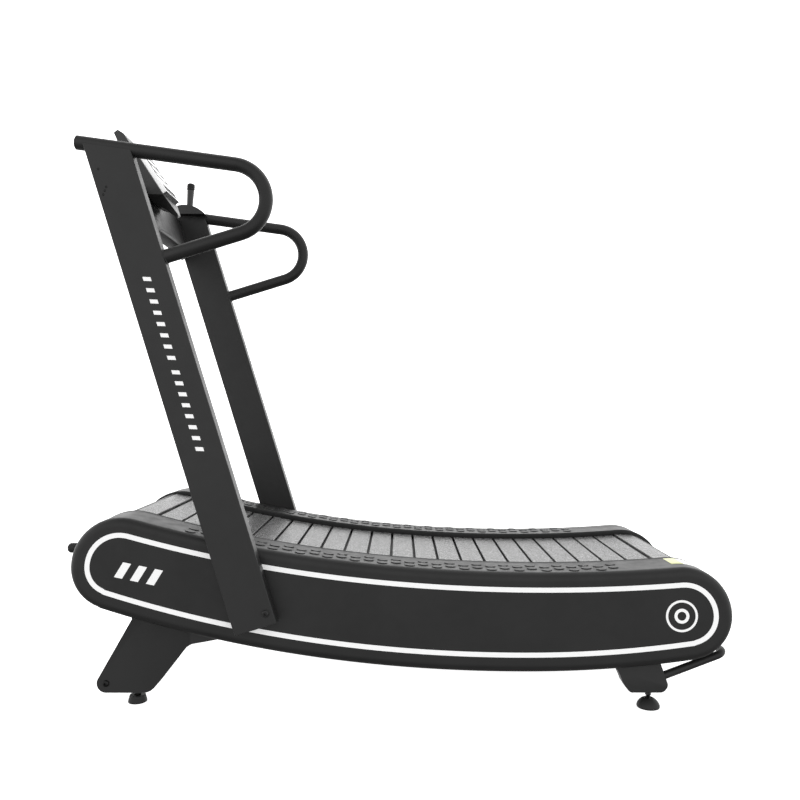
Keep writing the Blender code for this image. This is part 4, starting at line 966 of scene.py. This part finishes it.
def transport_wheel(side, sign):
    """A small rubber-tyred wheel beside the leg, on a shouldered bolt."""
    low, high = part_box("transport_wheel_" + side)
    middle_y = (low.y + high.y) / 2
    half = (high.y - low.y) / 2
    profile = [(0.0062, -half), (0.0100, -half), (0.0108, -half + 0.0012), (0.0180, -half + 0.0016),
               (0.0195, -half + 0.0004), (0.0225, -half)]
    profile += arc(WHEEL_RADIUS - TYRE_ROUND, -half + TYRE_ROUND, TYRE_ROUND, -90, 0, 6)
    turned_piece("wheel_" + side, mirrored(profile), (WHEEL_AXLE[0], middle_y, WHEEL_AXLE[1]), (0, 1, 0), 48,
                 BLACK_RUBBER, "wheel_" + side, ("transport_wheel_" + side,))
    axle = bmesh.new()
    face = FRONT_LEG_Y + FRONT_LEG_THICK / 2
    centre = (WHEEL_AXLE[0], sign * face, WHEEL_AXLE[1])
    screw_head(axle, centre, (0, sign, 0), AXLE_HEAD, 36)
    reach = face - (abs(middle_y) - half - 0.0045)
    lathe(axle, [(0, 0), (AXLE_RADIUS, 0), (AXLE_RADIUS, reach - 0.004), (AXLE_SHOULDER, reach - 0.004),
                 (AXLE_SHOULDER, reach - 0.0005), (AXLE_SHOULDER - 0.0006, reach), (0, reach)],
          centre, (0, -sign, 0), 36)
    add_piece("wheel_bolt_" + side, axle, DARK_STEEL, replaces=("wheel_axle_" + side,))


STOP_RADIUS, STOP_NECK, STOP_DOME = 0.0139, 0.0122, 0.0110
HANDLE_RADIUS, HANDLE_CORNER = 0.0107, 0.024
HANDLE_START, HANDLE_END = Vector((0.7418, 0.0863)), Vector((0.9085, 0.1494))


def lifting_handle():
    """A U-shaped tube from one rear leg to the other, rising to the rear."""
    direction = (HANDLE_END - HANDLE_START).normalized()
    straight = (HANDLE_END - HANDLE_START).length - HANDLE_CORNER
    route = []
    bend = arc(straight, REAR_LEG_Y - HANDLE_CORNER, HANDLE_CORNER, 90, 0, 16)
    for sign in (-1, 1):
        arm = []
        for distance, y in [(0, REAR_LEG_Y)] + bend:
            spot = HANDLE_START + direction * distance
            arm.append(Vector((spot.x, sign * y, spot.y)))
        route += arm if sign < 0 else list(reversed(arm))
    handle = bmesh.new()
    sweep(handle, route, HANDLE_RADIUS, 32)
    add_piece("lifting_bar", handle, PAINT, replaces=("lifting_handle",))


def nose_stop(side):
    """A domed rubber stop on a washer, on the nose of the cover."""
    low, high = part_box("front_bumper_" + side)
    centre = (high.x, (low.y + high.y) / 2, (low.z + high.z) / 2)
    length = high.x - low.x
    profile = [(0, -0.0040), (0.0100, -0.0040), (0.0100, 0), (STOP_RADIUS, 0), (STOP_RADIUS, 0.0022),
               (STOP_NECK, 0.0036), (STOP_NECK, 0.0120), (STOP_RADIUS - 0.0003, 0.0140),
               (STOP_RADIUS, 0.0180), (STOP_RADIUS, length - STOP_DOME)]
    profile += arc(0, length - STOP_DOME, STOP_RADIUS, 0, 90, 6, STOP_DOME)[1:]
    turned_piece("nose_stop_" + side, profile, centre, (-1, 0, 0), 40, BLACK_RUBBER,
                 replaces=("front_bumper_" + side,))


lifting_handle()
for side_name, side_sign in SIDES.items():
    front_leg(side_name, side_sign)
    rear_leg(side_name, side_sign)
    levelling_foot("front", side_name, side_sign)
    levelling_foot("rear", side_name, side_sign)
    transport_wheel(side_name, side_sign)
    nose_stop(side_name)

# ---- cross panel, console and lever

PANEL_LOW, PANEL_HEIGHT, PANEL_BOW, PANEL_THICK = (-0.7557, 1.3745), 0.1364, 0.022, 0.0025
PANEL_LIP = (-0.0283, -0.0195)


def cross_panel():
    """A bowed sheet between the uprights, its lower edge turned under round a soft bend."""
    low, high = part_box("cross_panel")
    top_x, top_z = UP * PANEL_HEIGHT
    lip = [(PANEL_LIP[0] + 0.0012, PANEL_LIP[1] + 0.0008), (-0.0060, -0.0045), (-0.0026, -0.0020)]
    rise = [(-0.0006, 0.0006), (-0.0006, 0.0050), (-0.0026, 0.0125), (top_x / 2, top_z / 2),
            (top_x, top_z - 0.001)]
    sheet = bmesh.new()
    rows = []
    for y in spread(low.y, high.y, 48):
        bow = PANEL_BOW * (1 - (y / UPRIGHT_INNER) ** 2)
        rows.append([(PANEL_LOW[0] + dx + bow, y, PANEL_LOW[1] + dz) for dx, dz in lip + rise])
    grid(sheet, rows)
    panel = add_piece("bowed_panel", sheet, PAINT, replaces=("cross_panel",), angle=60)
    thicken(panel, PANEL_THICK)


CONSOLE_TOP, CONSOLE_KNEE = Vector((-0.8363, 1.6667)), Vector((-0.7132, 1.4775))
FACE_UP = (CONSOLE_TOP - CONSOLE_KNEE).normalized()
FACE_OUT = Vector((FACE_UP.y, -FACE_UP.x))
DISPLAY_LOW, DISPLAY_HIGH, DISPLAY_HALF, DISPLAY_THICK = 0.004, 0.178, 0.0640, 0.015
SCREEN_UP, SCREEN_WIDE, SCREEN_TALL = 0.116, 0.104, 0.092
BUTTON_UP, BUTTON_SPACING = 0.0260, 0.0340
FACE_GAP = 0.0003
FIELDS_WIDE = 0.092
# Each line of fields: distance up the face, how many, and each one's width and height.
FIELD_ROWS = ((0.146, 3, 0.024, 0.014), (0.120, 2, 0.040, 0.018), (0.090, 12, 0.0052, 0.010))


def on_face(distance_up, height_out, y):
    """A point measured up the console's face from its knee, and out from it."""
    spot = CONSOLE_KNEE + FACE_UP * distance_up + FACE_OUT * height_out
    return Vector((spot.x, y, spot.y))


def face_block(mesh_data, up_range, half_width, out_range, corner, edge, middle_y=0.0):
    """A block on the console's face with round corners and a rounded outer rim."""
    middle = sum(up_range) / 2
    tall = up_range[1] - up_range[0]
    low, high = out_range
    rows = []
    for shrink, out in ((0.0, low), (0.0, high - edge), (edge * 0.3, high - edge * 0.3), (edge, high)):
        corner_left = max(corner - shrink, 0.0003)
        section = rounded_rectangle(tall - 2 * shrink, 2 * (half_width - shrink), corner_left)
        rows.append([on_face(middle + up, out, middle_y + y) for up, y in section])
    loft(mesh_data, rows)


def face_piece(name, measures, material, body="frame", replaces=()):
    """A piece that is one block on the console's face, its measures as face_block takes them."""
    piece = bmesh.new()
    face_block(piece, *measures)
    add_piece(name, piece, material, body, replaces)


def screen_bezel(top):
    """A raised rim round the window."""
    bezel = bmesh.new()
    rows = []
    for grow, out in ((0.0055, top - 0.0016), (0.0055, top - 0.0003), (0.0048, top), (0.0010, top),
                      (0.0002, top - 0.0008), (0.0002, top - 0.0016)):
        section = rounded_rectangle(SCREEN_TALL + 2 * grow, SCREEN_WIDE + 2 * grow, 0.003)
        rows.append([on_face(SCREEN_UP + up, out, y) for up, y in section])
    grid(bezel, rows + [rows[0]], closed=True)
    weld(bezel)
    add_piece("screen_bezel", bezel, CONSOLE)


def display_fields(top):
    """Plain dark fields under the glass, in three lines."""
    fields = bmesh.new()
    for row_up, columns, wide, tall in FIELD_ROWS:
        for k in range(columns):
            y = (k - (columns - 1) / 2) * FIELDS_WIDE / columns
            face_block(fields, (row_up - tall / 2, row_up + tall / 2), wide / 2,
                       (top - 0.0009, top - 0.0006), 0.0015, 0.0001, y)
    add_piece("display_fields", fields, DARK_PRINT)


def display():
    """The display: a pale body with a dark lower end, a framed window and a key panel."""
    top = DISPLAY_THICK + FACE_GAP
    depth = (FACE_GAP, top - 0.0016)
    # The pale body glows a little by itself: painted light.
    face_piece("display_body", ((DISPLAY_LOW + 0.0045, DISPLAY_HIGH), DISPLAY_HALF, depth, 0.004, 0.0012),
               PALE_PLASTIC_PAINTED_GLOW, replaces=("display_block",))
    face_piece("display_end", ((DISPLAY_LOW, DISPLAY_LOW + 0.0043), DISPLAY_HALF, depth, 0.0012, 0.0008),
               CONSOLE)
    screen_bezel(top)
    half_tall, half_wide = SCREEN_TALL / 2 - 0.0002, SCREEN_WIDE / 2 - 0.0001
    face_piece("display_window", ((SCREEN_UP - half_tall, SCREEN_UP + half_tall), half_wide,
                                  (top - 0.0026, top - 0.0008), 0.0026, 0.0004),
               GLASS, replaces=("display_screen",))
    display_fields(top)
    face_piece("key_panel", ((BUTTON_UP - 0.013, BUTTON_UP + 0.013), 0.056, (top - 0.0017, top - 0.0004),
                             0.005, 0.0004), CONSOLE)
    for name, across in (("mode", -1), ("reset", 0), ("set", 1)):
        face_piece("key_" + name + "_cap", ((BUTTON_UP - 0.005, BUTTON_UP + 0.005), 0.011,
                                            (top - 0.0030, top + 0.0015), 0.003, 0.0009,
                                            across * BUTTON_SPACING),
                   BUTTON, "key_" + name, ("button_" + name,))


cross_panel()
display()
refined("console_shell", "console_housing", 0.0012)

LEVER_PIVOT, LEVER_Y = (-0.7506, 1.5305), 0.3590
LEVER_TILT = math.radians(3.5)
LEVER_TOP, KNOB_TOP, KNOB_RADIUS, KNOB_LENGTH = 0.0905, 0.1025, 0.0140, 0.0260
KNOB_DOME, KNOB_RIB_PITCH = 0.0070, 0.0043
HUB_BORE, HUB_RADIUS, HUB_HALF = 0.0054, 0.0110, 0.0110


def lever_pieces():
    """The round-topped housing, the lever's rod and the ribbed knob."""
    refined("lever_cover", "lever_housing", 0.0010, angle=38)
    pivot = (LEVER_PIVOT[0], LEVER_Y, LEVER_PIVOT[1])
    direction = (math.sin(LEVER_TILT), 0, math.cos(LEVER_TILT))
    lever = bmesh.new()
    hub = [(HUB_BORE, -HUB_HALF), (HUB_RADIUS - 0.0008, -HUB_HALF), (HUB_RADIUS, -HUB_HALF + 0.0008)]
    lathe(lever, mirrored(hub), pivot, (0, 1, 0), 48)
    base = KNOB_TOP - KNOB_LENGTH
    lathe(lever, [(0, 0.0090), (0.0105, 0.0090), (0.0128, base - 0.0005), (0.0108, base + 0.0005),
                  (0.0108, LEVER_TOP - 0.001), (0.0100, LEVER_TOP), (0, LEVER_TOP)], pivot, direction, 36)
    weld(lever)
    add_piece("lever_arm", lever, ROD_PAINT, "lever", ("resistance_lever",))
    profile = [(0, base + 0.002), (0.0110, base + 0.002), (0.0120, base), (0.0130, base + 0.001),
               (0.0137, base + 0.0030)]
    groove = KNOB_RADIUS - 0.0009
    for k in range(3):
        rise = base + 0.0050 + KNOB_RIB_PITCH * k
        profile += [(KNOB_RADIUS, rise), (KNOB_RADIUS, rise + 0.0024), (groove, rise + 0.0030),
                    (groove, rise + 0.0040)]
    profile += arc(0, KNOB_TOP - KNOB_DOME, KNOB_RADIUS, 0, 90, 6, KNOB_DOME)
    turned_piece("lever_grip", profile, pivot, direction, 48, BLACK_RUBBER, "lever",
                 ("lever_knob",))


lever_pieces()

# ---- finishes of the CAD nodes that stay

SHAFT_RADIUS, BORE_PLAY = 0.0125, 0.0003
STAYING = {"cross_tube_front": PAINT, "cross_tube_rear": PAINT, "magnet_caliper": ALUMINIUM}
for side_name in SIDES:
    STAYING["frame_beam_" + side_name] = PAINT
    STAYING["upright_bracket_" + side_name] = PAINT
    STAYING["glide_rail_" + side_name] = GLIDE
    STAYING["front_bearing_" + side_name] = STEEL
    STAYING["rear_bearing_" + side_name] = STEEL

for node_name, finish_material in STAYING.items():
    node_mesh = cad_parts[node_name].data
    node_mesh.materials.clear()
    node_mesh.materials.append(finish_material)


def axle_pieces():
    """Shafts with chamfered ends, belt drums with flanges, and the brake disc."""
    for end, axle in (("front", FRONT_AXLE), ("rear", REAR_AXLE)):
        body = end + "_axle"
        low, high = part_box(end + "_shaft")
        centre = (axle[0], 0, axle[1])
        rod = [(0, low.y), (SHAFT_RADIUS - 0.001, low.y), (SHAFT_RADIUS, low.y + 0.001),
               (SHAFT_RADIUS, high.y - 0.001), (SHAFT_RADIUS - 0.001, high.y), (0, high.y)]
        turned_piece(end + "_axle_rod", rod, centre, (0, 1, 0), 64, STEEL, body, (end + "_shaft",))
        low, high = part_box(end + "_drum")
        rim = (high.z - low.z) / 2
        bore, hub = SHAFT_RADIUS + BORE_PLAY, SHAFT_RADIUS + 0.006
        outer, inner = PULLEY_Y + PULLEY_WIDTH / 2, PULLEY_Y - PULLEY_WIDTH / 2
        right = [(bore, outer), (rim - 0.018, outer), (rim - 0.014, outer - 0.003),
                 (rim - 0.006, outer - 0.003), (rim - 0.002, outer), (rim, outer - 0.001),
                 (rim, inner + 0.001), (rim - 0.002, inner), (rim - 0.014, inner),
                 (rim - 0.018, inner + 0.008), (hub + 0.010, inner + 0.008), (hub, inner)]
        turned_piece(end + "_belt_drum", mirrored(right), centre, (0, 1, 0), 64, ALUMINIUM,
                     body, (end + "_drum",))
    low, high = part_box("brake_disc")
    middle = (low.y + high.y) / 2
    half_hub, half, hub, rim = 0.011, 0.004, SHAFT_RADIUS + 0.012, (high.z - low.z) / 2
    bore = SHAFT_RADIUS + BORE_PLAY
    profile = [(bore, half_hub), (hub - 0.001, half_hub), (hub, half_hub - 0.001), (hub + 0.001, half),
               (rim - 0.001, half), (rim, half - 0.001)]
    turned_piece("eddy_disc", mirrored(profile), (FRONT_AXLE[0], middle, FRONT_AXLE[1]), (0, 1, 0), 64,
                 ALUMINIUM, "front_axle", ("brake_disc",))


axle_pieces()

# ---- studio

SKY_BACK, SKY_FRONT, SKY_ZENITH, SKY_NADIR = 2.20, 1.25, 0.30, 0.18


def studio_floor():
    """A wide plain floor, not part of the object."""
    sheet = bmesh.new()
    reach = 60.0
    corners = (-reach, -reach), (reach, -reach), (reach, reach), (-reach, reach)
    sheet.faces.new([sheet.verts.new((x, y, 0.0)) for x, y in corners])
    mesh = bpy.data.meshes.new("floor")
    sheet.to_mesh(mesh)
    sheet.free()
    floor = place_object("floor", mesh)
    finish = Finish("floor_paper", 0.9, specular=0.1, glow=0.90)
    finish.use(Base_Color=(0.92, 0.92, 0.92, 1.0))
    mesh.materials.append(finish.material)
    floor.visible_diffuse = False
    floor.visible_glossy = False


def overhead_light():
    """A large soft lamp above the machine, aimed at its middle."""
    lamp_data = bpy.data.lights.new("overhead", "AREA")
    lamp_data.shape = "RECTANGLE"
    lamp_data.size, lamp_data.size_y = 3.5, 2.5
    lamp_data.energy = 20.0
    lamp = place_object("overhead", lamp_data)
    place, target = Vector((0.3, 0.3, 3.6)), Vector((0.0, 0.0, 0.5))
    lamp.location = place
    lamp.rotation_euler = (target - place).to_track_quat("-Z", "Y").to_euler()


def studio_sky():
    """Soft light from all round: a bright backdrop beyond the machine, dimmer above, below and in front."""
    world = bpy.data.worlds.new("studio")
    world.use_nodes = True
    tree = world.node_tree
    parts = tree.nodes.new("ShaderNodeSeparateXYZ")
    feed(tree, parts, Vector=add_node(tree, "TexCoord", "Generated"))

    def product(first, second):
        times = tree.nodes.new("ShaderNodeMath")
        times.operation = "MULTIPLY"
        tree.links.new(first, times.inputs[0])
        tree.links.new(second, times.inputs[1])
        return times.outputs["Value"]

    depth = map_range(tree, parts.outputs["Y"], -0.3, 0.6, SKY_FRONT, SKY_BACK)
    above = map_range(tree, parts.outputs["Z"], 0.45, 0.95, 1.0, SKY_ZENITH)
    below = map_range(tree, parts.outputs["Z"], -0.6, -0.1, SKY_NADIR, 1.0)
    feed(tree, tree.nodes["Background"], Color=(1.0, 1.0, 1.0, 1.0),
         Strength=product(product(depth, above), below))
    bpy.context.scene.world = world


def camera():
    """A level camera beside the machine, at the photographed distance and height."""
    lens = bpy.data.cameras.new("camera")
    lens.lens = 35.0
    lens.sensor_width = 36.0
    eye = place_object("camera", lens)
    eye.location = (0.015, -2.470, 0.845)
    eye.rotation_euler = (math.pi / 2, 0.0, 0.0)
    bpy.context.scene.camera = eye


studio_floor()
studio_sky()
overhead_light()
camera()
bpy.context.scene.view_settings.view_transform = "Standard"
